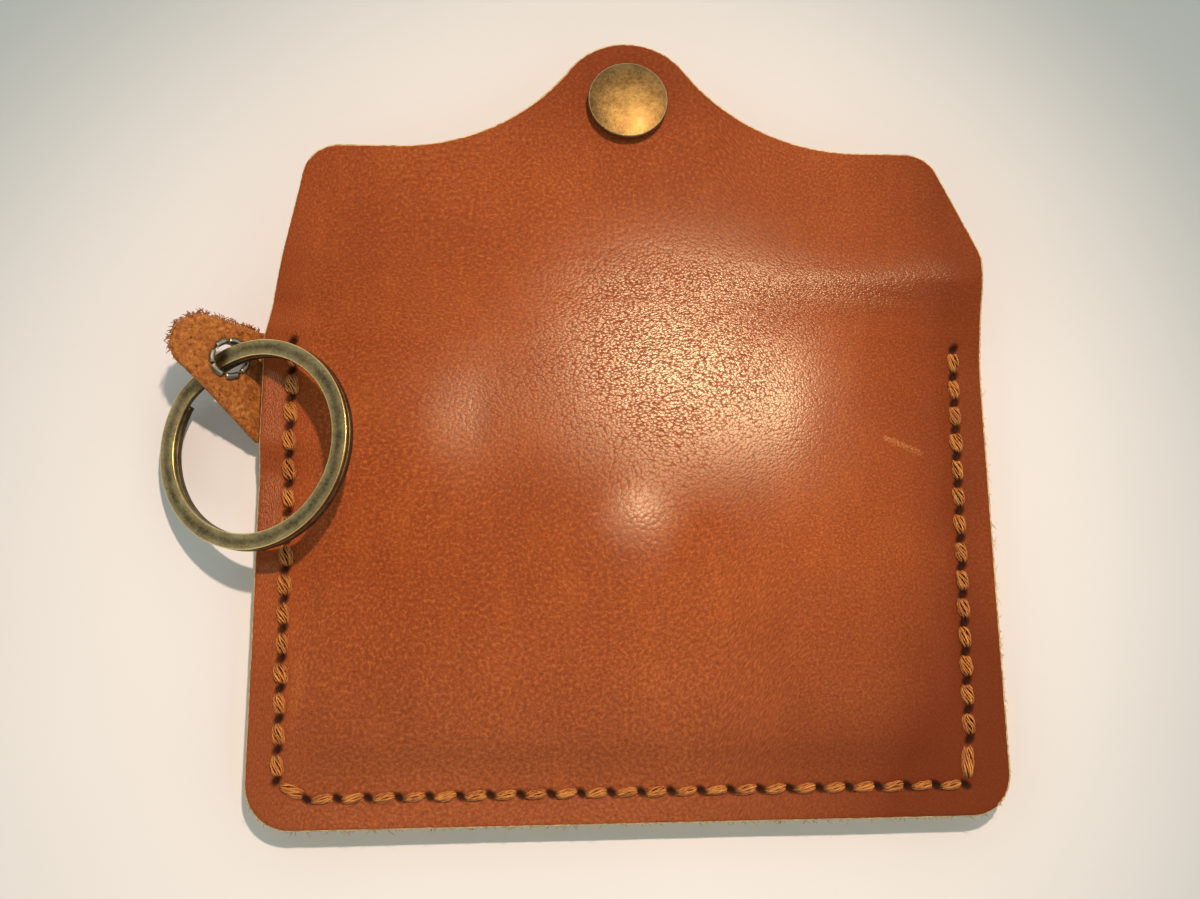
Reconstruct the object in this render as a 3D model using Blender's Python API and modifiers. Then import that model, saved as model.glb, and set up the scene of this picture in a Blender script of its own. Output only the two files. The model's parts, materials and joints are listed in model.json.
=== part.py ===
"""Keychain card wallet in leather, lying open with its back face up.

Metres, +Z up, +X to the right, +Y from the pocket towards the tip of the flap.
The origin is the flat end of the press stud, on the surface that the wallet lies on.
"""

import math

import bmesh
import bpy
from mathutils import Matrix, Vector

MM = 0.001

# Leather, thread and clearances
LEATHER = 1.8 * MM
TAB_LEATHER = 1.3 * MM
SKIVED_LEATHER = 0.9 * MM
SEAT_GAP = 0.3 * MM
THREAD_RADIUS = 0.35 * MM
THREAD_GAP = 0.2 * MM

# Closed wallet: the pocket, seen from its back
BODY_WIDTH = 107.4 * MM
BODY_DEPTH = 74.75 * MM
MOUTH_SETBACK = 2.6 * MM
LEFT_CORNER_RADIUS = 6.5 * MM
RIGHT_CORNER_RADIUS = 5.0 * MM

# Flap, from the fold to the tongue that carries the snap
SNAP_REACH = 63.6 * MM
FLAP_SHOULDER = 24.65 * MM
FLAP_LEFT_TAPER = 6.0 * MM
FLAP_LEFT_STEP = 1.3 * MM
FLAP_LEFT_EASE = 5.5 * MM
FLAP_RIGHT_TAPER = 7.6 * MM
FLAP_RIGHT_EASE = 7.9 * MM
FLAP_CORNER_RADIUS = 5.5 * MM
TONGUE_RADIUS = 11.1 * MM
TONGUE_FLARE = 32.0 * MM
TONGUE_DROP = 0.8 * MM
FOLD_GAP = 0.3 * MM

# Room that the cards have pressed into the pocket
POCKET_ROOM = 4.3 * MM
POCKET_RUN = 11.0 * MM
BOTTOM_RUN = 15.0 * MM
FOLD_EDGE_SHARE = 0.68
FLAP_SETTLE = 20.0 * MM
DISH_FLAT = 6.0 * MM
DISH_RUN = 11.5 * MM
IMPRINT_RADIUS = 7.0 * MM
IMPRINT_RISE = 0.5 * MM
RUN_STEPS = 3
FLAT_STEP = 12.0 * MM

# Hand-sewn seam
STITCH_PITCH = 4.2 * MM
SEAM_INSET = 4.4 * MM
SEAM_LEFT_RISE = 2.55 * MM
SEAM_RIGHT_RISE = 7.15 * MM
SEAM_CORNER_STEP = 4.2 * MM
SEAM_CORNER_TIP = 2.0 * MM
SEAM_TOP_MARGIN = 3.0 * MM
SLIT_WIDTH = 1.2 * MM
STRAIGHT_SHARE = 0.9999
NEEDLE_OFFSET = 0.5 * MM
STITCH_LEAD = 0.75 * MM
THREAD_END_POINTS = 2
THREAD_NEIGHBOURS = 20
THREAD_SHARES = (0.0, 0.25, 0.5, 0.75)

# Snap on the tongue: cap, socket and ring spring
CAP_RADIUS = 6.1 * MM
CAP_HEIGHT = 2.1 * MM
CAP_RIM = 0.8 * MM
CAP_ROLL = 0.35 * MM
CAP_DOME_SHARES = (0.0, 0.2, 0.4, 0.6, 0.8, 0.93)
CAP_DOME_POWER = 2.4
CAP_POST_RADIUS = 1.5 * MM
CAP_POST_ROLL = 1.0 * MM
SNAP_SHEET = 0.5 * MM
SNAP_ROLL_HEIGHT = 0.4 * MM
SOCKET_RADIUS = 5.0 * MM
SOCKET_HEIGHT = 3.8 * MM
SOCKET_WALL = 0.7 * MM
SPRING_WIRE_RADIUS = 0.3 * MM
SPRING_OPENING = 60.0

# Stud on the front panel
STUD_HEIGHT = 3.4 * MM
STUD_FLANGE_RADIUS = 4.6 * MM
STUD_BULB_RADIUS = 2.5 * MM
STUD_NECK_RADIUS = 2.0 * MM
STUD_TIP_RADIUS = 1.6 * MM
STUD_TIP_WALL = 0.6 * MM
STUD_BORE_RADIUS = 1.5 * MM
STUD_POST_RADIUS = 1.2 * MM
STUD_HEAD_RADIUS = 4.6 * MM
SPRING_CLEARANCE = 0.2 * MM

# Key tab, sewn between the panels on the left
TAB_DROP = 4.2 * MM
TAB_FOOT_WIDTH = 16.0 * MM
TAB_ROOT_DEPTH = 7.0 * MM
TAB_TIP_RADIUS = 4.4 * MM
TAB_TIP_REACH = 8.9 * MM
TAB_TIP_DROP = 2.3 * MM
TAB_PIVOT_GAP = 0.8 * MM
TAB_LIFT_RUN = 5.0 * MM
TAB_DROOP = 40.0
TAB_DROOP_STEPS = 6

# Eyelet and split ring
EYELET_BORE = 3.3 * MM
EYELET_WALL = 0.2 * MM
EYELET_FLANGE = 0.5 * MM
RING_RADIUS = 15.2 * MM
RING_BAND = 2.3 * MM
RING_WIRE = 0.85 * MM
RING_CHAMFER = 0.3 * MM
RING_TURN_GAP = 0.42 * MM
RING_TILT = 22.0
RING_TABLE_GAP = 0.5 * MM
RING_CENTRE_DROP = 21.35 * MM
RING_JOG = 28.0
RING_STEPS = 44
RING_CROSSING = 111.5
RING_END_TURN = 150.0

# Places worked out from the sizes above
FOLD_Y = SNAP_REACH / 2
HALF_WIDTH = BODY_WIDTH / 2
BOTTOM_Y = FOLD_Y - BODY_DEPTH
MOUTH_Y = FOLD_Y - MOUTH_SETBACK
SEAM_X = HALF_WIDTH - SEAM_INSET
SEAM_Y = BOTTOM_Y + SEAM_INSET
SEAM_TOP_Y = MOUTH_Y - SEAM_TOP_MARGIN
STITCH_ROOM = NEEDLE_OFFSET + THREAD_RADIUS + THREAD_GAP
GROOVE_ROOM = STITCH_ROOM + THREAD_GAP / 2
PUFF_X = SEAM_X - STITCH_ROOM
PUFF_Y = SEAM_Y + STITCH_ROOM
BACK_LEVEL = LEATHER + SEAT_GAP
FLAP_LEVEL = BACK_LEVEL + POCKET_ROOM
FLAP_Y = FOLD_Y + FLAP_SHOULDER
TONGUE_Y = SNAP_REACH - TONGUE_DROP
SOCKET_SEAT = STUD_HEIGHT - SEAT_GAP - SNAP_SHEET - SEAT_GAP - SOCKET_HEIGHT - SEAT_GAP
FOLD_AXIS_Z = (FLAP_LEVEL + SOCKET_SEAT) / 2
TAB_Z = LEATHER + SEAT_GAP
TAB_TOP = FOLD_Y - TAB_DROP
TAB_BOTTOM = TAB_TOP - TAB_FOOT_WIDTH
TAB_PIVOT = Vector((-HALF_WIDTH - TAB_PIVOT_GAP, (TAB_TOP + TAB_BOTTOM) / 2, TAB_Z + SKIVED_LEATHER / 2))
GROOVE_DEPTH = 2 * THREAD_RADIUS + THREAD_GAP
RING_STACK = 2 * RING_WIRE + RING_TURN_GAP
CAP_SEGMENTS = 32
SNAP_SEGMENTS = 24
ARC_STEP = 18.0


def start_scene():
    """Empty the scene and make the collections for the parts and their cutters."""
    for thing in list(bpy.data.objects):
        bpy.data.objects.remove(thing, do_unlink=True)
    found = {}
    for name in ("keychain_card_wallet", "cutters"):
        group = bpy.data.collections.get(name) or bpy.data.collections.new(name)
        if name not in bpy.context.scene.collection.children:
            bpy.context.scene.collection.children.link(group)
        found[name] = group
    return found["keychain_card_wallet"], found["cutters"]


PARTS, CUTTERS = start_scene()


def make_material(name, colour, roughness, metallic=0.0):
    mat = bpy.data.materials.new(name)
    mat.use_nodes = True
    shader = mat.node_tree.nodes["Principled BSDF"]
    shader.inputs["Base Color"].default_value = (*colour, 1.0)
    shader.inputs["Roughness"].default_value = roughness
    shader.inputs["Metallic"].default_value = metallic
    return mat


TAN_LEATHER = make_material("tan_leather", (0.44, 0.15, 0.045), 0.5)
TAB_FLESH = make_material("tab_leather", (0.48, 0.19, 0.06), 0.8)
WAXED_THREAD = make_material("waxed_thread", (0.55, 0.2, 0.05), 0.6)
OLD_BRASS = make_material("old_brass", (0.42, 0.31, 0.13), 0.35, 1.0)
DARK_BRASS = make_material("dark_brass", (0.22, 0.19, 0.12), 0.4, 1.0)
SPRING_STEEL = make_material("spring_steel", (0.6, 0.6, 0.6), 0.3, 1.0)


def add_object(name, data, mat=None):
    """Link an object to the parts, or to the cutters where it has no material."""
    thing = bpy.data.objects.new(name, data)
    if mat is None:
        CUTTERS.objects.link(thing)
        thing.hide_render = True
        thing.display_type = "WIRE"
    else:
        data.materials.clear()
        data.materials.append(mat)
        PARTS.objects.link(thing)
    return thing


def mesh_from(bm, name):
    mesh = bpy.data.meshes.new(name)
    bm.to_mesh(mesh)
    bm.free()
    return mesh


def mesh_of_curve(curve_object):
    """The welded mesh of a curve, which replaces the curve object."""
    bpy.context.view_layer.update()
    seen = curve_object.evaluated_get(bpy.context.evaluated_depsgraph_get())
    mesh = bpy.data.meshes.new_from_object(seen)
    bm = bmesh.new()
    bm.from_mesh(mesh)
    bmesh.ops.remove_doubles(bm, verts=bm.verts, dist=MM / 1000)
    bm.to_mesh(mesh)
    bm.free()
    bpy.data.objects.remove(curve_object, do_unlink=True)
    return mesh


def plate(name, outline, low, high, mat=None):
    """A flat plate of an outline, as a filled 2D curve, from one height to another."""
    curve = bpy.data.curves.new(name, "CURVE")
    curve.dimensions = "2D"
    curve.fill_mode = "BOTH"
    curve.extrude = (high - low) / 2
    spline = curve.splines.new("POLY")
    spline.points.add(len(outline) - 1)
    for point, (x, y) in zip(spline.points, outline):
        point.co = (x, y, 0, 1)
    spline.use_cyclic_u = True
    drawn = bpy.data.objects.new(name + "_outline", curve)
    CUTTERS.objects.link(drawn)
    mesh = mesh_of_curve(drawn)
    mesh.transform(Matrix.Translation((0, 0, (low + high) / 2)))
    return add_object(name, mesh, mat)


def turned(name, profile, mat, segments, closed=False):
    """A profile of radii and heights, turned about Z, from the top down its outer side."""
    bm = bmesh.new()
    ring = [bm.verts.new((radius, 0, height)) for radius, height in profile]
    for first, second in zip(ring, ring[1:]):
        bm.edges.new((first, second))
    if closed:
        bm.edges.new((ring[-1], ring[0]))
    piece = add_object(name, mesh_from(bm, name), mat)
    screw = piece.modifiers.new("turn", "SCREW")
    screw.steps = segments
    screw.render_steps = segments
    screw.use_merge_vertices = True
    screw.merge_threshold = MM / 1000
    screw.use_smooth_shade = True
    return piece


def cut(piece, cutter):
    boolean = piece.modifiers.new(cutter.name, "BOOLEAN")
    boolean.operation = "DIFFERENCE"
    boolean.solver = "EXACT"
    boolean.object = cutter
    return piece


def round_cutter(name, radius, centre, normal, length, segments=SNAP_SEGMENTS):
    bm = bmesh.new()
    bmesh.ops.create_cone(
        bm, cap_ends=True, segments=segments, radius1=radius, radius2=radius, depth=length)
    cutter = add_object(name, mesh_from(bm, name))
    cutter.location = centre
    cutter.rotation_euler = Vector(normal).to_track_quat("Z", "Y").to_euler()
    return cutter


def carrier(name, place):
    """An empty on a joint's axis, which the moving pieces hang from."""
    empty = bpy.data.objects.new(name, None)
    empty.location = place
    PARTS.objects.link(empty)
    return empty


def carry(empty, *pieces):
    for piece in pieces:
        piece.parent = empty
        piece.location = piece.location - empty.location


def ease(share):
    """Smooth step from 0 to 1."""
    share = min(max(share, 0.0), 1.0)
    return share * share * (3 - 2 * share)


def arc(centre, radius, start, end):
    """Points along an arc, in degrees, from start to end."""
    steps = max(2, math.ceil(abs(end - start) / ARC_STEP))
    angles = [math.radians(start + (end - start) * step / steps) for step in range(steps + 1)]
    return [(centre[0] + radius * math.cos(a), centre[1] + radius * math.sin(a)) for a in angles]


def rounded(before, corner, after, radius):
    """The arc that rounds one corner of an outline."""
    corner = Vector(corner)
    back = (Vector(before) - corner).normalized()
    ahead = (Vector(after) - corner).normalized()
    half = back.angle(ahead) / 2
    centre = corner + (back + ahead).normalized() * radius / math.sin(half)
    start = corner + back * radius / math.tan(half) - centre
    end = corner + ahead * radius / math.tan(half) - centre
    turn = start.angle_signed(end)
    steps = max(2, math.ceil(math.degrees(abs(turn)) / ARC_STEP))
    points = []
    for step in range(steps + 1):
        spoke = start.copy()
        spoke.rotate(Matrix.Rotation(-turn * step / steps, 2))
        points.append(tuple(centre + spoke))
    return points


def left_edge(y):
    """The left edge, which starts to draw in for the flap just below the fold."""
    return -HALF_WIDTH + FLAP_LEFT_STEP * max(0, 1 - (FOLD_Y - y) / FLAP_LEFT_EASE)


def pocket_outline(top):
    """The pocket's edge, anticlockwise from its upper right end."""
    upper_left = (left_edge(top), top)
    ease_left = (-HALF_WIDTH, FOLD_Y - FLAP_LEFT_EASE)
    lower_left = (-HALF_WIDTH, BOTTOM_Y)
    lower_right = (HALF_WIDTH, BOTTOM_Y)
    upper_right = (HALF_WIDTH, top)
    left_turn = rounded(upper_left, lower_left, lower_right, LEFT_CORNER_RADIUS)
    right_turn = rounded(lower_left, lower_right, upper_right, RIGHT_CORNER_RADIUS)
    return [upper_right, upper_left, ease_left] + left_turn + right_turn


def flap_outline():
    """The flap's edge, anticlockwise: tapered sides, round shoulders and a flared tongue."""
    low = FOLD_Y + FOLD_GAP
    flare_x = math.sqrt((TONGUE_RADIUS + TONGUE_FLARE) ** 2 - (FLAP_Y + TONGUE_FLARE - TONGUE_Y) ** 2)
    lean = math.degrees(math.atan2(FLAP_Y + TONGUE_FLARE - TONGUE_Y, flare_x))
    lower_right = (HALF_WIDTH, low)
    ease_right = (HALF_WIDTH, FOLD_Y + FLAP_RIGHT_EASE)
    upper_right = (HALF_WIDTH - FLAP_RIGHT_TAPER, FLAP_Y)
    upper_left = (-HALF_WIDTH + FLAP_LEFT_TAPER, FLAP_Y)
    lower_left = (left_edge(FOLD_Y), low)
    right_flare = arc((flare_x, FLAP_Y + TONGUE_FLARE), TONGUE_FLARE, 270.0, 180.0 + lean)
    tongue = arc((0, TONGUE_Y), TONGUE_RADIUS, lean, 180.0 - lean)
    left_flare = arc((-flare_x, FLAP_Y + TONGUE_FLARE), TONGUE_FLARE, 360.0 - lean, 270.0)
    points = [lower_right]
    points += rounded(lower_right, ease_right, upper_right, FLAP_CORNER_RADIUS)
    points += rounded(ease_right, upper_right, (0, FLAP_Y), FLAP_CORNER_RADIUS)
    points += right_flare
    points += tongue[1:-1]
    points += left_flare
    points += rounded((0, FLAP_Y), upper_left, lower_left, FLAP_CORNER_RADIUS)
    points.append(lower_left)
    return points


def tab_lift(x, y):
    """How far the key tab's sewn end lifts the back panel."""
    along = min(y - TAB_BOTTOM, TAB_TOP - y) / TAB_LIFT_RUN + 1
    inward = (-SEAM_X + TAB_ROOT_DEPTH - SEAM_INSET - x) / TAB_LIFT_RUN + 1
    return (SKIVED_LEATHER + SEAT_GAP) * ease(along) * ease(inward)


def back_underside(x, y):
    """Height of the back's flesh side: sewn down at three edges and full between them."""
    inside = ease((PUFF_X - abs(x)) / POCKET_RUN) * ease((y - PUFF_Y) / BOTTOM_RUN)
    loose = FOLD_EDGE_SHARE * ease((y - SEAM_TOP_Y) / (FOLD_Y - SEAM_TOP_Y))
    loose += (1 - FOLD_EDGE_SHARE) * ease((y - FOLD_Y) / FLAP_SETTLE)
    full = inside + (1 - inside) * loose
    imprint = IMPRINT_RISE * ease(2 - 2 * math.hypot(x, y) / IMPRINT_RADIUS)
    lift = tab_lift(x, y) * (1 - full)
    return BACK_LEVEL + POCKET_ROOM * full + imprint + lift


def front_underside(x, y):
    """Height of the front's grain side: flat, but pushed up where it stands on the stud."""
    return STUD_HEIGHT * ease((DISH_FLAT + DISH_RUN - math.hypot(x, y)) / DISH_RUN)


def run_lines(start, run):
    """Lines that follow a bend, from its start over its run."""
    return [start + run * step / RUN_STEPS for step in range(RUN_STEPS + 1)]


def flat_lines(low, high):
    """Lines that share out a flat stretch, without its ends."""
    count = max(1, round((high - low) / FLAT_STEP))
    return [low + (high - low) * step / count for step in range(1, count)]


def mirrored(lines):
    return sorted(set(lines) | {-line for line in lines})


def round_lines(flat, run):
    """Lines through a round rise about the stud."""
    return mirrored([0.0, flat / 2] + run_lines(flat, run))


def lined_face(outline, lines):
    """An outline filled with one face and cut along lines across X and across Y."""
    bm = bmesh.new()
    bm.faces.new([bm.verts.new((x, y, 0)) for x, y in outline])
    for axis in (0, 1):
        normal = Vector((0, 0, 0))
        normal[axis] = 1.0
        for line in lines[axis]:
            everything = bm.verts[:] + bm.edges[:] + bm.faces[:]
            bmesh.ops.bisect_plane(
                bm, geom=everything, plane_co=normal * line, plane_no=normal, dist=MM / 1000)
    return bm


def thick_sheet(name, bm, thickness, offset, mat):
    """A sheet of leather from its shaped face, thickened upwards or to both sides."""
    bmesh.ops.recalc_face_normals(bm, faces=bm.faces)
    if sum(face.normal.z for face in bm.faces) < 0:
        bmesh.ops.reverse_faces(bm, faces=bm.faces)
    sheet = add_object(name, mesh_from(bm, name), mat)
    solidify = sheet.modifiers.new("leather", "SOLIDIFY")
    solidify.thickness = thickness
    solidify.offset = offset
    return sheet


def leather_sheet(name, outline, underside, lines):
    bm = lined_face(outline, lines)
    for vert in bm.verts:
        vert.co.z = underside(vert.co.x, vert.co.y)
    return thick_sheet(name, bm, LEATHER, 1.0, TAN_LEATHER)


def seam_holes():
    """The awl slits from the upper left, round the bottom, to the upper right."""
    def run(start, end):
        start = Vector(start)
        end = Vector(end)
        count = round((end - start).length / STITCH_PITCH)
        return [start.lerp(end, step / count) for step in range(count + 1)]

    holes = run((-SEAM_X, SEAM_TOP_Y), (-SEAM_X, SEAM_Y + SEAM_LEFT_RISE))
    holes += run((-SEAM_X + SEAM_CORNER_STEP, SEAM_Y), (SEAM_X - SEAM_CORNER_TIP, SEAM_Y))
    holes += run((SEAM_X, SEAM_Y + SEAM_RIGHT_RISE), (SEAM_X, SEAM_TOP_Y))
    return holes


def seam_directions(holes):
    """The seam's own direction at each hole."""
    directions = []
    for index, hole in enumerate(holes):
        before = holes[max(index - 1, 0)]
        after = holes[min(index + 1, len(holes) - 1)]
        directions.append((after - before).normalized())
    return directions


def slit_cutter(holes, directions):
    """One slit for each hole, long enough across the seam for both ends of the thread."""
    bm = bmesh.new()
    tall = 2 * (FLAP_LEVEL + LEATHER)
    for hole, direction in zip(holes, directions):
        turn = Matrix.Rotation(math.atan2(direction.y, direction.x), 4, "Z")
        size = Matrix.Diagonal((SLIT_WIDTH, 2 * STITCH_ROOM, tall, 1))
        place = Matrix.Translation((hole.x, hole.y, 0)) @ turn @ size
        bmesh.ops.create_cube(bm, size=1.0, matrix=place)
    return add_object("seam_slits", mesh_from(bm, "seam_slits"))


def groove_cutter(holes, directions):
    """The groove in the front panel that keeps the thread under its face."""
    left_side = []
    right_side = []
    for index, direction in enumerate(directions):
        neighbour = holes[index - 1] if index else holes[1]
        mitre = abs((holes[index] - neighbour).normalized().dot(direction))
        side = Vector((-direction.y, direction.x)) * GROOVE_ROOM / mitre
        point = holes[index]
        if index == 0:
            point = point - direction * GROOVE_ROOM
        elif index == len(holes) - 1:
            point = point + direction * GROOVE_ROOM
        elif mitre > STRAIGHT_SHARE:
            continue
        left_side.append(tuple(point + side))
        right_side.append(tuple(point - side))
    return plate("seam_groove", left_side + right_side[::-1], -GROOVE_DEPTH, GROOVE_DEPTH)


def thread_path(holes, directions):
    """A saddle stitch: one thread that leaves the first hole at both ends and runs the seam twice."""
    low = GROOVE_DEPTH - THREAD_GAP - THREAD_RADIUS
    tops = [back_underside(*hole) + LEATHER + THREAD_GAP + THREAD_RADIUS for hole in holes]

    def passage(index, top_ahead, going_up):
        way = 1 if top_ahead else -1
        hole = holes[index]
        direction = directions[index]
        centre = hole + Vector((-direction.y, direction.x)) * NEEDLE_OFFSET * way
        upper = centre + direction * STITCH_LEAD * way
        lower = centre - direction * STITCH_LEAD * way
        onward = min(max(index + way, 0), len(holes) - 1)
        slope = (tops[onward] - tops[index]) / STITCH_PITCH
        points = [
            (lower.x, lower.y, low),
            (centre.x, centre.y, low + THREAD_RADIUS),
            (centre.x, centre.y, tops[index] - THREAD_RADIUS),
            (upper.x, upper.y, tops[index] + slope * STITCH_LEAD),
        ]
        return points if going_up else points[::-1]

    first_needle = []
    second_needle = []
    for index in range(len(holes)):
        top_ahead = index % 2 == 0
        first_needle += passage(index, top_ahead, top_ahead)
        if index:
            second_needle += passage(index, not top_ahead, not top_ahead)
    return second_needle[:-THREAD_END_POINTS][::-1] + first_needle[:-THREAD_END_POINTS]


def sewing_thread(path):
    curve = bpy.data.curves.new("sewing_thread", "CURVE")
    curve.dimensions = "3D"
    curve.bevel_depth = THREAD_RADIUS
    curve.bevel_resolution = 1
    curve.use_fill_caps = True
    spline = curve.splines.new("POLY")
    spline.points.add(len(path) - 1)
    for point, place in zip(spline.points, path):
        point.co = (*place, 1)
    return add_object("sewing_thread", curve, WAXED_THREAD)


def thread_gap(path):
    """The least gap between runs of the thread that aren't neighbours along it."""
    points = [Vector(point) for point in path]
    middles = []
    for first, second in zip(points, points[1:]):
        middles += [first.lerp(second, share) for share in THREAD_SHARES]
    least = min(
        (first - second).length
        for index, first in enumerate(middles)
        for second in middles[index + THREAD_NEIGHBOURS:]
        if abs(first.x - second.x) < STITCH_PITCH and abs(first.y - second.y) < STITCH_PITCH)
    return least - 2 * THREAD_RADIUS


def snap_cap():
    """Domed cap with a rolled rim, and the post that holds the socket to the flap."""
    seat = FLAP_LEVEL + LEATHER + SEAT_GAP
    roll_top = FLAP_LEVEL - SEAT_GAP - SNAP_SHEET - SEAT_GAP
    dome_rise = CAP_HEIGHT - CAP_RIM
    shoulder = CAP_RADIUS - CAP_ROLL
    profile = []
    for share in CAP_DOME_SHARES:
        rise = dome_rise * (1 - share ** CAP_DOME_POWER)
        profile.append((shoulder * share, seat + CAP_RIM + rise))
    profile += [
        (CAP_RADIUS - CAP_ROLL / 2, seat + CAP_RIM),
        (CAP_RADIUS, seat + CAP_RIM / 2),
        (CAP_RADIUS - CAP_ROLL / 2, seat),
        (CAP_POST_RADIUS, seat),
        (CAP_POST_RADIUS, roll_top),
        (CAP_POST_RADIUS + CAP_POST_ROLL, roll_top),
        (CAP_POST_RADIUS + CAP_POST_ROLL, roll_top - SNAP_ROLL_HEIGHT / 2),
        (CAP_POST_RADIUS, roll_top - SNAP_ROLL_HEIGHT),
        (0, roll_top - SNAP_ROLL_HEIGHT),
    ]
    cap = turned("snap_cap", profile, OLD_BRASS, CAP_SEGMENTS)
    cap.location.y = SNAP_REACH
    return cap


def spring_ring_radius():
    return STUD_BULB_RADIUS + SPRING_CLEARANCE + SPRING_WIRE_RADIUS


def snap_socket():
    """Cup that opens away from the flap, with a groove for the ring spring behind its lip."""
    seat = FLAP_LEVEL - SEAT_GAP
    mouth = seat - SOCKET_HEIGHT
    lip = mouth + SNAP_SHEET
    spring_room = 2 * (SPRING_WIRE_RADIUS + SPRING_CLEARANCE)
    shelf = lip + spring_room
    groove = SOCKET_RADIUS - SOCKET_WALL
    bore = CAP_POST_RADIUS + SEAT_GAP
    lip_radius = spring_ring_radius() - SPRING_WIRE_RADIUS / 2
    cup = lip_radius + SPRING_CLEARANCE
    profile = [
        (bore, seat),
        (SOCKET_RADIUS - SNAP_SHEET, seat),
        (SOCKET_RADIUS, seat - SNAP_SHEET),
        (SOCKET_RADIUS, mouth + SNAP_SHEET),
        (SOCKET_RADIUS - SNAP_SHEET, mouth),
        (lip_radius + SNAP_SHEET / 2, mouth),
        (lip_radius, lip),
        (groove, lip),
        (groove, shelf),
        (cup, shelf),
        (cup, seat - SNAP_SHEET),
        (bore, seat - SNAP_SHEET),
    ]
    socket = turned("snap_socket", profile, DARK_BRASS, SNAP_SEGMENTS, closed=True)
    socket.location.y = SNAP_REACH
    return socket


def snap_spring():
    """Ring spring with an opening, which closes behind the stud's bulb."""
    mouth = FLAP_LEVEL - SEAT_GAP - SOCKET_HEIGHT
    height = mouth + SNAP_SHEET + SPRING_WIRE_RADIUS + SPRING_CLEARANCE
    curve = bpy.data.curves.new("snap_spring", "CURVE")
    curve.dimensions = "3D"
    curve.bevel_depth = SPRING_WIRE_RADIUS
    curve.bevel_resolution = 1
    curve.use_fill_caps = True
    radius = spring_ring_radius()
    points = arc((0, SNAP_REACH), radius, SPRING_OPENING / 2, 360.0 - SPRING_OPENING / 2)
    spline = curve.splines.new("POLY")
    spline.points.add(len(points) - 1)
    for point, (x, y) in zip(spline.points, points):
        point.co = (x, y, height, 1)
    return add_object("snap_spring", curve, SPRING_STEEL)


def snap_stud():
    """Stud under the front panel: flange, neck, bulb and flat end, bored for its post."""
    seat = STUD_HEIGHT - SEAT_GAP
    flange = seat - SNAP_SHEET
    bulb = 2 * SPRING_WIRE_RADIUS + SNAP_SHEET
    bore_end = SNAP_SHEET + STUD_TIP_WALL
    profile = [
        (STUD_BORE_RADIUS, seat),
        (STUD_FLANGE_RADIUS - SNAP_SHEET / 2, seat),
        (STUD_FLANGE_RADIUS, seat - SNAP_SHEET / 2),
        (STUD_FLANGE_RADIUS - SNAP_SHEET / 2, flange),
        (STUD_NECK_RADIUS, flange),
        (STUD_NECK_RADIUS, bulb + SPRING_WIRE_RADIUS),
        (STUD_BULB_RADIUS, bulb),
        (STUD_BULB_RADIUS, bulb - SPRING_WIRE_RADIUS),
        (STUD_TIP_RADIUS + (STUD_BULB_RADIUS - STUD_TIP_RADIUS) / 2, SPRING_WIRE_RADIUS / 2),
        (STUD_TIP_RADIUS, 0),
        (0, 0),
    ]
    bore = [(0, bore_end), (STUD_BORE_RADIUS, bore_end)]
    return turned("snap_stud", bore + profile, DARK_BRASS, SNAP_SEGMENTS)


def stud_post():
    """Flat head inside the pocket, with a pin through the front panel into the stud."""
    head = STUD_HEIGHT + LEATHER + SEAT_GAP
    end = SNAP_SHEET + STUD_TIP_WALL + SEAT_GAP
    profile = [
        (0, head + SNAP_SHEET),
        (STUD_HEAD_RADIUS - SNAP_SHEET / 2, head + SNAP_SHEET),
        (STUD_HEAD_RADIUS, head + SNAP_SHEET / 2),
        (STUD_HEAD_RADIUS - SNAP_SHEET / 2, head),
        (STUD_POST_RADIUS, head),
        (STUD_POST_RADIUS, end),
        (0, end),
    ]
    return turned("stud_post", profile, DARK_BRASS, SNAP_SEGMENTS)


def ring_frame():
    """The split ring's place: its left side near the table, tilted on to the pocket's edge."""
    tilt = math.radians(RING_TILT)
    low = RING_RADIUS * math.sin(tilt) + RING_STACK / 2 * math.cos(tilt) + RING_TABLE_GAP
    centre = Vector((-HALF_WIDTH, FOLD_Y - RING_CENTRE_DROP, low))
    return Matrix.Translation(centre) @ Matrix.Rotation(-tilt, 4, "Y")


def ring_crossing():
    """Where the ring's middle line goes through the eyelet, and its direction there."""
    place = ring_frame()
    angle = math.radians(RING_CROSSING)
    middle = RING_RADIUS - RING_BAND / 2
    point = place @ Vector((middle * math.cos(angle), middle * math.sin(angle), 0))
    direction = place.to_3x3() @ Vector((-math.sin(angle), math.cos(angle), 0))
    return point, direction


def split_ring():
    """Two flat turns of one wire, with a jog from the lower turn to the upper one."""
    half = RING_WIRE / 2
    edge = RING_CHAMFER
    inner = RING_RADIUS - RING_BAND
    outer = RING_RADIUS
    section = [
        (inner + edge, -half), (outer - edge, -half), (outer, -half + edge), (outer, half - edge),
        (outer - edge, half), (inner + edge, half), (inner, half - edge), (inner, -half + edge),
    ]
    rise = RING_WIRE + RING_TURN_GAP
    sweep = 2 * 360.0 - RING_JOG
    steps = 2 * RING_STEPS
    bm = bmesh.new()
    loops = []
    for step in range(steps + 1):
        angle = sweep * step / steps
        climb = ease((angle - (360.0 - RING_JOG)) / RING_JOG)
        height = rise * climb - rise / 2
        turn = math.radians(angle + RING_END_TURN)
        loop = [bm.verts.new((r * math.cos(turn), r * math.sin(turn), z + height)) for r, z in section]
        loops.append(loop)
    for first, second in zip(loops, loops[1:]):
        for corner in range(len(section)):
            after = (corner + 1) % len(section)
            bm.faces.new((first[corner], first[after], second[after], second[corner]))
    bm.faces.new(loops[0][::-1])
    bm.faces.new(loops[-1])
    bmesh.ops.recalc_face_normals(bm, faces=bm.faces)
    ring = add_object("split_ring", mesh_from(bm, "split_ring"), OLD_BRASS)
    ring.matrix_world = ring_frame()
    return ring


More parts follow.
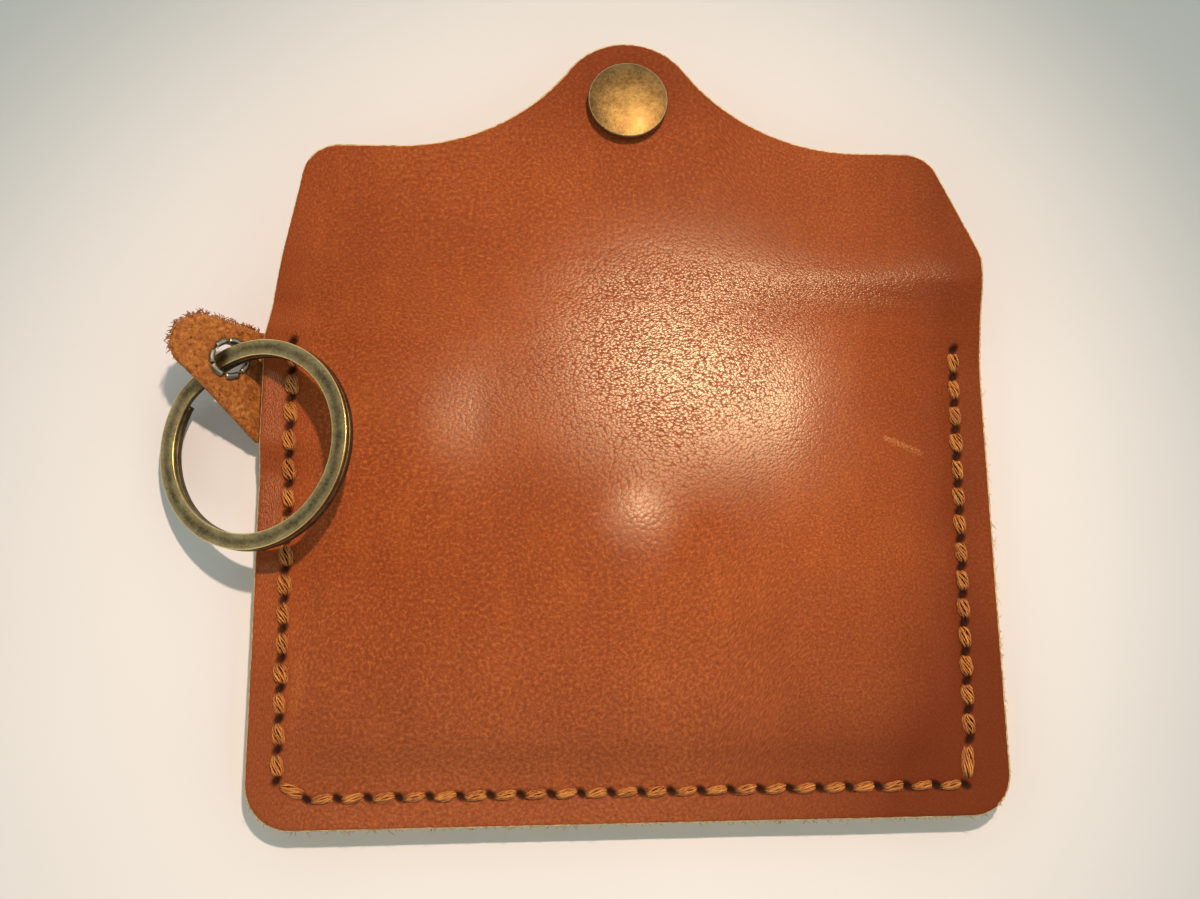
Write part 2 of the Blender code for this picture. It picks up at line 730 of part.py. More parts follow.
def tab_frame():
    """The free tab's place: it leans from its pivot up to where the ring goes through it."""
    point = ring_crossing()[0]
    reach = Vector((TAB_PIVOT.x - point.x, point.z - TAB_PIVOT.z))
    lean = math.atan2(reach.y, reach.x)
    place = Matrix.Translation(TAB_PIVOT) @ Matrix.Rotation(lean, 4, "Y")
    hole = Vector((-reach.length, point.y - TAB_PIVOT.y, 0))
    return place, hole


def tangent_point(start, centre, radius, side):
    """Where a line from start touches a circle, on the given side."""
    start = Vector(start)
    centre = Vector(centre)
    away = start - centre
    angle = math.acos(radius / away.length) * side
    spoke = away.normalized() * radius
    spoke.rotate(Matrix.Rotation(angle, 2))
    return centre + spoke


def tab_outline():
    """The free tab: a wide foot, two straight sides and a round tip."""
    half = TAB_FOOT_WIDTH / 2
    tip = (-TAB_TIP_REACH, half - TAB_TIP_DROP)
    upper = tangent_point((0, half), tip, TAB_TIP_RADIUS, 1)
    lower = tangent_point((0, -half), tip, TAB_TIP_RADIUS, -1)
    start = math.degrees(math.atan2(upper.y - tip[1], upper.x - tip[0]))
    end = math.degrees(math.atan2(lower.y - tip[1], lower.x - tip[0])) % 360.0
    return [(0, half)] + arc(tip, TAB_TIP_RADIUS, start, end) + [(0, -half)]


def key_tab():
    """The free tab: flat from its foot to past the eyelet's middle, with a drooping tip."""
    place, hole = tab_frame()
    start = -hole.x + EYELET_BORE
    run = TAB_TIP_REACH + TAB_TIP_RADIUS - start
    radius = run / math.radians(TAB_DROOP)
    lines = [-start - run * step / TAB_DROOP_STEPS for step in range(TAB_DROOP_STEPS)]
    bm = lined_face(tab_outline(), (lines, []))
    for vert in bm.verts:
        angle = max(0, -vert.co.x - start) / radius
        if angle:
            vert.co.x = -start - radius * math.sin(angle)
            vert.co.z = radius * math.cos(angle) - radius
    tab = thick_sheet("key_tab", bm, TAB_LEATHER, 0.0, TAB_FLESH)
    tab.matrix_world = place
    radius = EYELET_BORE + EYELET_WALL + SEAT_GAP
    normal = place.to_3x3() @ Vector((0, 0, 1))
    return cut(tab, round_cutter("eyelet_hole", radius, place @ hole, normal, 4 * TAB_LEATHER))


def key_tab_root():
    """The tab's sewn end, pared thin so that the seam stays slim."""
    edge = -HALF_WIDTH
    outline = [
        (edge, TAB_TOP), (edge, TAB_BOTTOM),
        (edge + TAB_ROOT_DEPTH, TAB_BOTTOM), (edge + TAB_ROOT_DEPTH, TAB_TOP),
    ]
    return plate("key_tab_root", outline, TAB_Z, TAB_Z + SKIVED_LEATHER, TAB_FLESH)


def eyelet():
    """Tube with a flat flange below the tab and a rolled one above it."""
    place, hole = tab_frame()
    seat = TAB_LEATHER / 2 + SEAT_GAP
    tube = EYELET_BORE + EYELET_WALL
    flange = tube + EYELET_FLANGE
    profile = [
        (EYELET_BORE, seat + EYELET_WALL / 2),
        (tube, seat + EYELET_WALL),
        (flange - EYELET_WALL, seat + EYELET_WALL),
        (flange, seat),
        (tube, seat),
        (tube, -seat),
        (flange, -seat),
        (flange, -seat - EYELET_WALL),
        (EYELET_BORE + EYELET_WALL / 2, -seat - EYELET_WALL),
        (EYELET_BORE, -seat),
    ]
    ring = turned("eyelet", profile, DARK_BRASS, SNAP_SEGMENTS, closed=True)
    ring.matrix_world = place @ Matrix.Translation(hole)
    return ring


def build():
    holes = seam_holes()
    directions = seam_directions(holes)
    slits = slit_cutter(holes, directions)
    path = thread_path(holes, directions)

    puff = mirrored([SEAM_X] + run_lines(PUFF_X - POCKET_RUN, POCKET_RUN))
    imprint = round_lines(IMPRINT_RADIUS / 2, IMPRINT_RADIUS / 2)
    middle = mirrored(flat_lines(IMPRINT_RADIUS, PUFF_X - POCKET_RUN))
    bottom = [SEAM_Y] + run_lines(PUFF_Y, BOTTOM_RUN)
    lift_start = TAB_BOTTOM - TAB_LIFT_RUN - STITCH_PITCH
    lifted = [hole.y for hole in holes if hole.x < -PUFF_X and hole.y > lift_start]
    fold = [(SEAM_TOP_Y + FOLD_Y) / 2]
    back_lines = (puff + middle + imprint, bottom + imprint + lifted + fold)
    back = leather_sheet("back_panel", pocket_outline(FOLD_Y), back_underside, back_lines)
    dish = round_lines(DISH_FLAT, DISH_RUN)
    front = leather_sheet("front_panel", pocket_outline(MOUTH_Y), front_underside, (dish, dish))
    flap_lines = (puff + middle, run_lines(FOLD_Y, FLAP_SETTLE)[1:])
    flap = leather_sheet("flap", flap_outline(), back_underside, flap_lines)
    root = key_tab_root()
    for sheet in (back, front, root):
        cut(sheet, slits)
    cut(front, groove_cutter(holes, directions))
    post_hole = STUD_POST_RADIUS + SEAT_GAP
    cut(front, round_cutter("stud_hole", post_hole, (0, 0, STUD_HEIGHT), (0, 0, 1), 4 * LEATHER))
    cap_hole = CAP_POST_RADIUS + SEAT_GAP
    cut(flap, round_cutter("cap_hole", cap_hole, (0, SNAP_REACH, FLAP_LEVEL), (0, 0, 1), 4 * LEATHER))
    sewing_thread(path)
    print("least gap between runs of the thread, mm:", round(thread_gap(path) / MM, 3))

    snap_stud()
    stud_post()
    cap = snap_cap()
    socket = snap_socket()
    spring = snap_spring()
    ring = split_ring()
    tab = key_tab()
    grommet = eyelet()

    crossing, direction = ring_crossing()
    carry(carrier("flap_axis", (0, FOLD_Y, FOLD_AXIS_Z)), flap, cap, socket, spring)
    carry(carrier("tab_axis", TAB_PIVOT), tab, grommet)
    carry(carrier("ring_axis", crossing), ring)
    print("fold axis, mm:", [round(value / MM, 3) for value in (0, FOLD_Y, FOLD_AXIS_Z)])
    print("tab axis, mm:", [round(value / MM, 3) for value in TAB_PIVOT])
    print("ring axis, mm:", [round(value / MM, 3) for value in crossing])
    print("ring axis direction:", [round(value, 5) for value in direction])


build()
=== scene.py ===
"""Looks of the keychain card wallet: tan leather, waxed thread, old brass and the light on them.

The wallet lies open on a pale table with its back face up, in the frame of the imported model.
Lengths are metres, written as so many MM. The finishes, the wear maps and the turned profiles
are in plain millimetres. The pieces are built in mesh code from the frame's boxes and joints,
and their finishes are node materials that follow each piece's rest place.
"""

import json
import math
import random

import bmesh
import bpy
import numpy as np
from mathutils import Matrix, Vector, noise


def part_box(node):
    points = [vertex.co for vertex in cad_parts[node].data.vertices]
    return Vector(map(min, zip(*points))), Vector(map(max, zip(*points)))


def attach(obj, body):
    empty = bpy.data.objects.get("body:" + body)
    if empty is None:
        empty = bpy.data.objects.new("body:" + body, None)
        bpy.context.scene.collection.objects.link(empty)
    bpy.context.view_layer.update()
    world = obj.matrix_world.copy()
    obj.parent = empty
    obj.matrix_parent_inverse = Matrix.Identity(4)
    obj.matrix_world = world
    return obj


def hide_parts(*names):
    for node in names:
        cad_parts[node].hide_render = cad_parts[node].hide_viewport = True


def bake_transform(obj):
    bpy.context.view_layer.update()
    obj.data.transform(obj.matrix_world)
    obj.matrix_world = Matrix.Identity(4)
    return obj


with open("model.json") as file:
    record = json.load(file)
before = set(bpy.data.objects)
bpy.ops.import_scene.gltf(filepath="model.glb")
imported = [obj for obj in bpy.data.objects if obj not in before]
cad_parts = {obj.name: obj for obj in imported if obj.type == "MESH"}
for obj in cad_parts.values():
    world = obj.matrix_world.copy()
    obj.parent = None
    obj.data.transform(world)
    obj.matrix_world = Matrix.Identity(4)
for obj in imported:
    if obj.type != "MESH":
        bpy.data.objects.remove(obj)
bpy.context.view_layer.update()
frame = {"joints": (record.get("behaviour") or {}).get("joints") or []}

MM = 0.001
JOINTS = {joint["name"]: joint for joint in frame["joints"]}
FOLD = Vector(JOINTS["flap_fold"]["pos_m"])
TAB_PIVOT = Vector(JOINTS["tab_flex"]["pos_m"])
CROSSING = Vector(JOINTS["ring_swing"]["pos_m"])
BACK_LOW, BACK_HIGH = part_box("back_panel")
FLAP_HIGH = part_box("flap")[1]
FRONT_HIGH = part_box("front_panel")[1]
CAP_LOW, CAP_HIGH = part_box("snap_cap")
SOCKET_LOW, SOCKET_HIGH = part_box("snap_socket")
SPRING_LOW, SPRING_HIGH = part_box("snap_spring")
STUD_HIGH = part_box("snap_stud")[1]
POST_LOW, POST_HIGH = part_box("stud_post")

# Leather body
LEATHER = 1.8 * MM
HALF_WIDTH = BACK_HIGH.x
BOTTOM_Y = BACK_LOW.y
BOTTOM_RIGHT_RISE = 0.9 * MM
MOUTH_Y = FRONT_HIGH.y
BACK_LEVEL = BACK_LOW.z
FLAP_LEVEL = FLAP_HIGH.z - LEATHER
POCKET_ROOM = FLAP_LEVEL - BACK_LEVEL
LEFT_CORNER = 6.5 * MM
RIGHT_CORNER = 6.0 * MM
FLAP_SHOULDER = 24.65 * MM
FLAP_LEFT_STEP = 1.3 * MM
FLAP_LEFT_EASE = 5.5 * MM
FLAP_LEFT_TAPER = 6.0 * MM
FLAP_RIGHT_TAPER = 7.6 * MM
FLAP_RIGHT_EASE = 7.9 * MM
FLAP_CORNER = 5.5 * MM
TONGUE_RADIUS = 11.1 * MM
TONGUE_FLARE = 32.0 * MM
FOLD_LIFT_START = 5.0 * MM
FLAP_SETTLE = 19.0 * MM
POCKET_RUN = 32.0 * MM
BOTTOM_RUN = 40.0 * MM
FLAP_Y = FOLD.y + FLAP_SHOULDER
TONGUE_Y = FLAP_HIGH.y - TONGUE_RADIUS

# Cut edge: how far in and how far down each line of it lies, in millimetres
EDGE_PROFILE = ((0.7, 0.0), (0.42, 0.03), (0.24, 0.12), (0.1, 0.32), (0.03, 0.6))
EDGE_STEP = 0.8 * MM
EDGE_FRAY = 0.1 * MM
EDGE_FRAY_GRAIN = 1.1 * MM

# Steps of the leather's meshes
BACK_STEP = 0.85 * MM
FRONT_STEP = 1.6 * MM
COARSE_STEP = 3.0 * MM
FOLD_STEP = 0.5 * MM
FOLD_FINE = (20.0 * MM, 42.0 * MM)
NEAR_SEAM = (0.01 * MM, 0.35 * MM, 0.7 * MM, 1.1 * MM, 1.6 * MM)
MERGE = MM / 10000

# Stud and its imprint in the back
STUD_TOP = STUD_HIGH.z
IMPRINT_RADIUS = 5.2 * MM
IMPRINT_RISE = 0.34 * MM
DISH_FLAT = 6.0 * MM
DISH_RUN = 11.5 * MM

# Cap on the flap: its dome drops from its crown to its shoulder, in millimetres
CAP_Y = (CAP_LOW.y + CAP_HIGH.y) / 2
AT_STUD = Matrix()
AT_CAP = Matrix.Translation((0, CAP_Y, 0))
CAP_CROWN_DROP = 0.3
CAP_SHOULDER_DROP = 0.85
CAP_DOME_POWER = 2.6
SPRING_WIRE = 0.26 * MM

# Seam: where it runs, how it draws the leather down, and its thread
STITCH_PITCH = 4.2 * MM
SEAM_INSET = 4.4 * MM
SEAM_LEFT_X = -HALF_WIDTH + SEAM_INSET
SEAM_RIGHT_X = HALF_WIDTH - SEAM_INSET
SEAM_RIGHT_LEAN = 1.4 * MM
SEAM_Y = BOTTOM_Y + SEAM_INSET
SEAM_TOP_Y = MOUTH_Y - 3.0 * MM
SEAM_LEFT_RISE = 2.55 * MM
SEAM_RIGHT_RISE = 7.15 * MM
SEAM_CORNER_STEP = 4.2 * MM
SEAM_CORNER_TIP = 2.0 * MM
SEAM_RIGHT_MIDDLE = SEAM_RIGHT_X - 0.6 * MM
SEAM_BOTTOM_MIDDLE = SEAM_Y + 0.4 * MM
SEAM_FOOT = 1.05 * MM
HOLE_LONG = 0.85 * MM
HOLE_WIDE = 0.7 * MM
HOLE_LEAN = 0.35
PULL_LIMIT = 4.0 * MM
HOLE_PULL = 0.5 * MM
HOLE_PULL_REACH = 0.8 * MM
LINE_PULL = 0.16 * MM
LINE_PULL_REACH = 2.2 * MM
STRANDS = 12
STRAND_RADIUS = 0.16 * MM
STITCH_SHARES = (0.0, 0.04, 0.08, 0.14, 0.24, 0.37, 0.5, 0.63, 0.76, 0.86, 0.92, 0.96, 1.0)
STITCH_WIDE = 0.5 * MM
STITCH_SPREAD = 0.65
STITCH_TALL = 0.2 * MM
STITCH_CROWN = 0.12 * MM
STITCH_WAVE = 0.07 * MM
STITCH_STRAY = 0.24 * MM
STITCH_SLANT = 0.28 * MM
STITCH_DIVE = 1.0 * MM
STITCH_END = 0.115
STITCH_SEAT = 0.62 * MM

# Key tab
TAB_LEATHER = 1.3 * MM
SKIVED_LEATHER = 0.9 * MM
SKIVE_START = 0.3 * MM
SKIVE_RUN = 2.0 * MM
TAB_TOP = FOLD.y - 4.2 * MM
TAB_FOOT = 16.0 * MM
TAB_BOTTOM = TAB_TOP - TAB_FOOT
TAB_TIP_REACH = 8.9 * MM
TAB_TIP_RADIUS = 4.4 * MM
TAB_TIP_DROP = 2.3 * MM
TAB_UPPER_RISE = 0.8 * MM
TAB_LIFT_RUN = 5.0 * MM
TAB_ROOT_DEPTH = 7.0 * MM
TAB_DROOP = 40.0
TAB_BEND_HALF = 0.7 * MM
TAB_BEND_REACH = 17.0 * MM
TAB_BEND_STEP = 0.05 * MM
TAB_STEP = 0.45 * MM
TAB_NAP = 0.06 * MM
TAB_NAP_GRAIN = 0.9 * MM
SEAT_GAP = 0.3 * MM

# Eyelet, and its petals in millimetres
EYELET_BORE = 2.4 * MM
EYELET_WALL = 0.15 * MM
EYELET_FLANGE = 0.5 * MM
EYELET_EASE = 0.05 * MM
PETALS = 7
PETAL_ACROSS = 6
PETAL_OUT = 7
PETAL_SIZE = 0.46
PETAL_THICK = 0.13
PETAL_ROOT = 0.5
PETAL_RAGGED = 0.05
PETAL_PRESSED = 0.3
PETAL_CURL = math.radians(190)
WIRE_WAY = math.atan2(-0.37, -0.53)

# Split ring
RING_RADIUS = 15.2 * MM
RING_BAND = 2.3 * MM
RING_WIRE = 1.02 * MM
RING_TURN = 1.09 * MM
RING_ROUND = 0.15 * MM
RING_STACK = 2.12 * MM
RING_TILT = 22.0
RING_TABLE_GAP = 0.5 * MM
RING_CENTRE_DROP = 21.35 * MM
RING_JOG = 28.0
RING_END_TURN = 150.0
RING_STEPS = 300
RING_WOBBLE = 0.03 * MM

# Loose fibres: the shares of their way at which they bend, and how they taper there
FIBRE_SHARES = (0.0, 0.25, 0.5, 0.75, 1.0)
FIBRE_TAPER = (1.0, 0.95, 0.8, 0.6, 0.35)
FIBRE_ROOT = 0.2 * MM

# Camera, worked out from the stitches, and table
CAMERA_PLACE = Vector((-16.034, -29.559, 187.516)) * MM
CAMERA_AHEAD = Vector((0.06169, 0.2132, -0.97506))
CAMERA_UP = Vector((-0.00378, 0.97696, 0.21338))
CAMERA_LENS = 38.49
SENSOR = 36.0
TABLE_HALF = 1.6
TABLE_DROP = 0.05 * MM

# Lamps: where they stand, what they point at, and their power and colour
KEY_PLACE = (0.096, 0.295, 0.513)
KEY_TARGET = (-0.01, -0.012, 0)
KEY_POWER = 12.6
KEY_COLOUR = (1.0, 0.77, 0.67)
SHEEN_PLACE = (0.081, 0.156, 0.5)
SHEEN_TARGET = (0.01, 0.02, 0)
SHEEN_POWER = 2.8
SHEEN_COLOUR = (1.0, 0.8, 0.46)
ROOM_POWER = 1.25


def ease(share):
    """Smooth step from 0 to 1."""
    share = min(max(share, 0.0), 1.0)
    return share * share * (3 - 2 * share)


def bell(value, middle, width):
    """A smooth hump of 1 at its middle."""
    return math.exp(-(((value - middle) / width) ** 2))


def spot(dx, dy, wide, tall):
    """A smooth mound of 1 in the plane, by how far its middle is each way."""
    return math.exp(-((dx / wide) ** 2) - (dy / tall) ** 2)


def kept(value, high):
    """A value kept from 0 to high."""
    return min(max(value, 0.0), high)


def ripple(x, y, wide, tall, seed=0.0):
    """Smooth noise in the plane, from about -1 to 1, with its own grain size each way."""
    return noise.noise(Vector((x / wide, y / tall, seed)))


# Finishes


class Value:
    """A socket in a node tree, so that shader maths reads as arithmetic."""

    def __init__(self, nodes, socket):
        self.nodes = nodes
        self.socket = socket

    def __add__(self, other):
        return self.nodes.maths("ADD", self, other)

    def __sub__(self, other):
        return self.nodes.maths("SUBTRACT", self, other)

    def __mul__(self, other):
        return self.nodes.maths("MULTIPLY", self, other)

    def __truediv__(self, other):
        return self.nodes.maths("DIVIDE", self, other)

    def __pow__(self, other):
        return self.nodes.maths("POWER", self, other)

    def __rsub__(self, other):
        return self.nodes.maths("SUBTRACT", other, self)

    __radd__ = __add__
    __rmul__ = __mul__

    def between(self, low, high):
        """0 at low and below, 1 at high and above, and smooth between them."""
        settings = {"interpolation_type": "SMOOTHSTEP"}
        sockets = {"Value": self, "From Min": low, "From Max": high}
        return self.nodes.node("MapRange", settings, sockets)


class Nodes:
    """A node tree, and what is added to it."""

    def __init__(self, tree):
        self.tree = tree

    def node(self, kind, settings, sockets, out=0):
        """A shader node of a kind: its settings first, then its socket values and links."""
        made = self.tree.nodes.new("ShaderNode" + kind)
        for name, value in settings.items():
            if name == "stops":
                ramp = made.color_ramp.elements
                while len(ramp) < len(value):
                    ramp.new(0.5)
                for element, (position, colour) in zip(ramp, value):
                    element.position = position
                    element.color = (*colour, 1.0)
            else:
                setattr(made, name, value)
        for name, value in sockets.items():
            self.feed(made.inputs[name], value)
        return Value(self, made.outputs[out])

    def feed(self, socket, value):
        """Gives a socket its link, its colour or its number."""
        if isinstance(value, Value):
            self.tree.links.new(value.socket, socket)
        elif isinstance(value, tuple) and socket.type == "RGBA":
            socket.default_value = (*value, 1.0)
        else:
            socket.default_value = value

    def maths(self, operation, *values, clamp=False):
        sockets = dict(enumerate(values))
        return self.node("Math", {"operation": operation, "use_clamp": clamp}, sockets)

    def within(self, value, high):
        """A value kept from 0 to high."""
        return self.maths("MAXIMUM", 0.0, self.maths("MINIMUM", high, value))

    def ramp(self, value, *stops):
        """A colour by a value, from stops of a position and a colour."""
        return self.node("ValToRGB", {"stops": stops}, {"Fac": value})


class Finish(Nodes):
    """A node material on the piece's rest place in millimetres."""

    def __init__(self, name):
        self.material = bpy.data.materials.new(name)
        self.material.use_nodes = True
        super().__init__(self.material.node_tree)
        self.shader = self.tree.nodes["Principled BSDF"]
        self.place = self.kept_place("rest_place")

    def kept_place(self, name):
        """A place that the mesh holds at each point, in millimetres."""
        place = self.node("Attribute", {"attribute_name": name}, {}, "Vector")
        return self.scaled(place, 1 / MM)

    def layer(self, name):
        """A value that the mesh holds at each point."""
        return self.node("Attribute", {"attribute_name": name}, {}, "Fac")

    def scaled(self, vector, factor):
        sockets = {"Vector": vector, "Scale": factor}
        return self.node("VectorMath", {"operation": "SCALE"}, sockets)

    def stretched(self, vector, factors):
        return self.node("VectorMath", {"operation": "MULTIPLY"}, {0: vector, 1: factors})

    def moved(self, vector, other):
        return self.node("VectorMath", {"operation": "ADD"}, {0: vector, 1: other})

    def axis(self, name):
        return self.node("SeparateXYZ", {}, {"Vector": self.place}, name)

    def grain(self, scale, detail=2.0, vector=None, roughness=0.5):
        """Noise from about 0 to 1 with so many grains in a millimetre."""
        sockets = {"Vector": vector or self.place, "Scale": scale,
                   "Detail": detail, "Roughness": roughness}
        return self.node("TexNoise", {}, sockets)

    def wander(self, scale, reach, vector=None):
        """A place shifted by smooth noise, so that the pattern read there isn't regular."""
        vector = vector or self.place
        sockets = {"Vector": vector, "Scale": scale, "Detail": 1.0}
        colour = self.node("TexNoise", {}, sockets, "Color")
        centred = self.moved(colour, (-0.5, -0.5, -0.5))
        return self.moved(vector, self.scaled(centred, reach))

    def cells(self, scale, vector):
        """How far the middle of the nearest cell is, with about so many cells in a millimetre."""
        return self.node("TexVoronoi", {}, {"Vector": vector, "Scale": scale}, "Distance")

    def off_line(self, start, end):
        """How far along and across a line each place is, and the line's length."""
        start = Vector(start)
        way = Vector(end) - start
        length = way.length
        way.normalize()
        dx = self.axis("X") - start.x
        dy = self.axis("Y") - start.y
        return dx * way.x + dy * way.y, dx * -way.y + dy * way.x, length

    def mix(self, share, first, second):
        sockets = {"Factor": share, 6: first, 7: second}
        return self.node("Mix", {"data_type": "RGBA"}, sockets, 2)

    def bump(self, height, distance):
        return self.node("Bump", {}, {"Height": height, "Distance": distance})

    def worn_in(self, share, sockets):
        """A second finish of the same piece, which takes over by a share from 0 to 1."""
        first = Value(self, self.shader.outputs[0])
        second = self.node("BsdfPrincipled", {}, sockets)
        both = self.node("MixShader", {}, {0: share, 1: first, 2: second})
        self.feed(self.tree.nodes["Material Output"].inputs["Surface"], both)

    def set(self, **sockets):
        """Values for the shader's own sockets, such as base_color or metallic."""
        for name, value in sockets.items():
            title = name.replace("_", " ").title().replace("Ior", "IOR")
            self.feed(self.shader.inputs[title], value)
        return self.material


def seam_holes_mask(finish):
    """1 in the awl holes of the three seams, and 0 elsewhere."""
    mask = None
    for start, end, count in seam_runs():
        along, across, length = finish.off_line(start / MM, end / MM)
        pitch = length / count
        nearest = finish.within(finish.maths("SNAP", along + pitch / 2, pitch), length)
        off = along - nearest
        long_way = off / (HOLE_LONG / MM)
        wide_way = (across + off * HOLE_LEAN) / (HOLE_WIDE / MM)
        far = (long_way * long_way + wide_way * wide_way) ** 0.5
        hole = 1.0 - far.between(0.4, 1.35)
        mask = hole if mask is None else finish.maths("MAXIMUM", mask, hole)
    return mask


def mark(finish, start, end, width):
    """1 along a short line on the leather, and 0 beyond its width."""
    along, across, length = finish.off_line(start, end)
    beyond = along - finish.within(along, length)
    far = (beyond * beyond + across * across) ** 0.5
    return 1.0 - far.between(width * 0.2, width)


def grain_finish():
    """Grain side: waxed tan leather with pores, worn pebbles and polish, with painted shade in
    pebble creases, seam holes and broad patches, and a painted highlight over the stud.
    """
    f = Finish("leather_grain_side")
    drawn = f.kept_place("grain_place")
    opened = f.layer("opened")
    wander = f.wander(1.1, 0.45, drawn)
    away = f.cells(1.9, wander)
    pebbles = 1.0 - away * away * 1.5
    fine = f.grain(1.9, 4.0, drawn, 0.75)
    pores = f.grain(1.25, 2.0, wander, 0.7)
    broad = f.grain(0.04, 3.0, roughness=0.6)
    flow = f.grain(0.3, 3.0, f.stretched(wander, (1.0, 0.3, 1.0)), 0.65)
    holes = seam_holes_mask(f)

    # Deep tan, redder or darker in patches, and paler low down and where the wax has cracked
    tan = f.ramp(broad, (0.3, (0.32, 0.064, 0.014)), (0.5, (0.37, 0.079, 0.019)),
                 (0.7, (0.41, 0.094, 0.024)))
    tan = f.mix((1.0 - f.axis("Y").between(-42.0, -4.0)) * 0.65, tan, (0.4, 0.122, 0.047))
    dull = f.mix(0.52, tan, (0.16, 0.03, 0.008))
    tan = f.mix(fine.between(0.36, 0.58), dull, tan)
    tan = f.mix(fine.between(0.5, 0.68) * 0.5, tan, (0.68, 0.2, 0.045))
    tan = f.mix(flow.between(0.45, 0.75) * 0.12, tan, (0.62, 0.16, 0.025))
    tan = f.mix(pores.between(0.58, 0.7) * 0.4, tan, (0.15, 0.028, 0.007))
    # Painted shade: darker in the creases between the open pebbles
    tan = f.mix((1.0 - pebbles) * opened * 0.5, tan, (0.22, 0.045, 0.012))
    # Darker by a layer that is mostly painted shade, with some random darker patches
    tan = f.mix(f.layer("tone"), tan, (0.15, 0.026, 0.007))

    # Painted highlight: a pale disc over the stud, which stands up inside
    out = (f.axis("X") * f.axis("X") + f.axis("Y") * f.axis("Y")) ** 0.5
    tan = f.mix((1.0 - out.between(1.0, 6.5)) * 0.2, tan, (0.8, 0.4, 0.22))

    # A scratch by the right seam, and a rub by the left one
    cracked = f.grain(3.6, 3.0).between(0.4, 0.62)
    scratch = mark(f, (37.5, 11.8), (42.8, 9.8), 0.7) * cracked
    rub = mark(f, (-46.8, -20.5), (-47.0, -26.0), 1.5) * cracked
    tan = f.mix(scratch * 0.36, tan, (0.8, 0.38, 0.12))
    tan = f.mix(rub * 0.22, tan, (0.66, 0.24, 0.05))
    # Painted shade: the awl holes are painted near black, as the dark inside a hole
    tan = f.mix(holes * 0.94, tan, (0.018, 0.005, 0.003))

    relief = pebbles * (opened + 0.22) + fine * 0.3 + pores * 0.3 - holes * 6.0
    normal = f.bump(relief, 0.032 * MM)
    shine = 0.27 - opened * 0.06 + fine * 0.1
    f.worn_in(f.layer("polish") * (1.0 - holes), {
        "Base Color": tan, "Roughness": shine, "Normal": normal, "Specular IOR Level": 0.6})
    return f.set(base_color=tan, roughness=0.5, normal=normal, specular_ior_level=0.05)


def flesh_finish():
    """Flesh side: paler, napped and streaked."""
    f = Finish("leather_flesh_side")
    fibres = f.grain(1.2, 4.0, f.stretched(f.place, (1.0, 0.45, 1.0)), 0.7)
    colour = f.ramp(fibres, (0.3, (0.26, 0.1, 0.035)), (0.5, (0.42, 0.18, 0.065)),
                    (0.7, (0.56, 0.27, 0.11)))
    normal = f.bump(fibres, 0.16 * MM)
    return f.set(base_color=colour, roughness=0.93, normal=normal, specular_ior_level=0.2)


def edge_finish():
    """Raw cut edge: pale fibre with brown flecks."""
    f = Finish("leather_cut_edge")
    layers = f.grain(2.6, 4.0, f.stretched(f.place, (0.6, 0.6, 2.6)), 0.6)
    colour = f.ramp(layers, (0.32, (0.27, 0.125, 0.04)), (0.5, (0.6, 0.39, 0.16)),
                    (0.66, (0.84, 0.67, 0.36)))
    normal = f.bump(layers, 0.12 * MM)
    return f.set(base_color=colour, roughness=0.9, normal=normal, specular_ior_level=0.2)


def suede_finish():
    """Flesh side of the tab: napped, matt and mottled, with dark flecks."""
    f = Finish("tab_suede")
    nap = f.grain(1.5, 5.0, f.wander(1.0, 0.8), 0.78)
    clumps = f.grain(0.6, 3.0, roughness=0.65)
    colour = f.ramp(nap, (0.33, (0.1, 0.028, 0.006)), (0.45, (0.36, 0.11, 0.022)),
                    (0.6, (0.58, 0.21, 0.046)), (0.72, (0.8, 0.38, 0.1)))
    colour = f.mix(clumps.between(0.45, 0.7) * 0.4, colour, (0.3, 0.085, 0.02))
    normal = f.bump(nap, 0.35 * MM)
    return f.set(base_color=colour, roughness=0.95, normal=normal, specular_ior_level=0.2)


def thread_finish():
    """Waxed thread: golden brown, with fine filaments that run along it, and painted shade at the
    bundle's sides and where it dives into its holes.
    """
    f = Finish("waxed_thread")
    twist = f.node("CombineXYZ", {}, {
        "X": f.layer("along") * 0.3, "Y": f.layer("around") * 5.0, "Z": f.layer("strand") * 9.0})
    filaments = f.grain(1.6, 3.0, twist, 0.7)
    patches = f.grain(0.5, 2.0)
    colour = f.ramp(filaments, (0.36, (0.14, 0.028, 0.004)), (0.49, (0.62, 0.16, 0.018)),
                    (0.6, (1.0, 0.45, 0.075)))
    colour = f.mix(patches.between(0.45, 0.7) * 0.3, colour, (0.34, 0.08, 0.01))
    # Painted shade: strands at the bundle's sides darker, and the ends near black where they dive
    # into the holes
    colour = f.mix(f.layer("aside") * 0.35, colour, (0.2, 0.042, 0.008))
    colour = f.mix(f.layer("deep") * 0.96, colour, (0.012, 0.004, 0.002))
    rough = 0.3 + filaments * 0.2
    return f.set(base_color=colour, roughness=rough, normal=f.bump(filaments, 0.12 * MM))


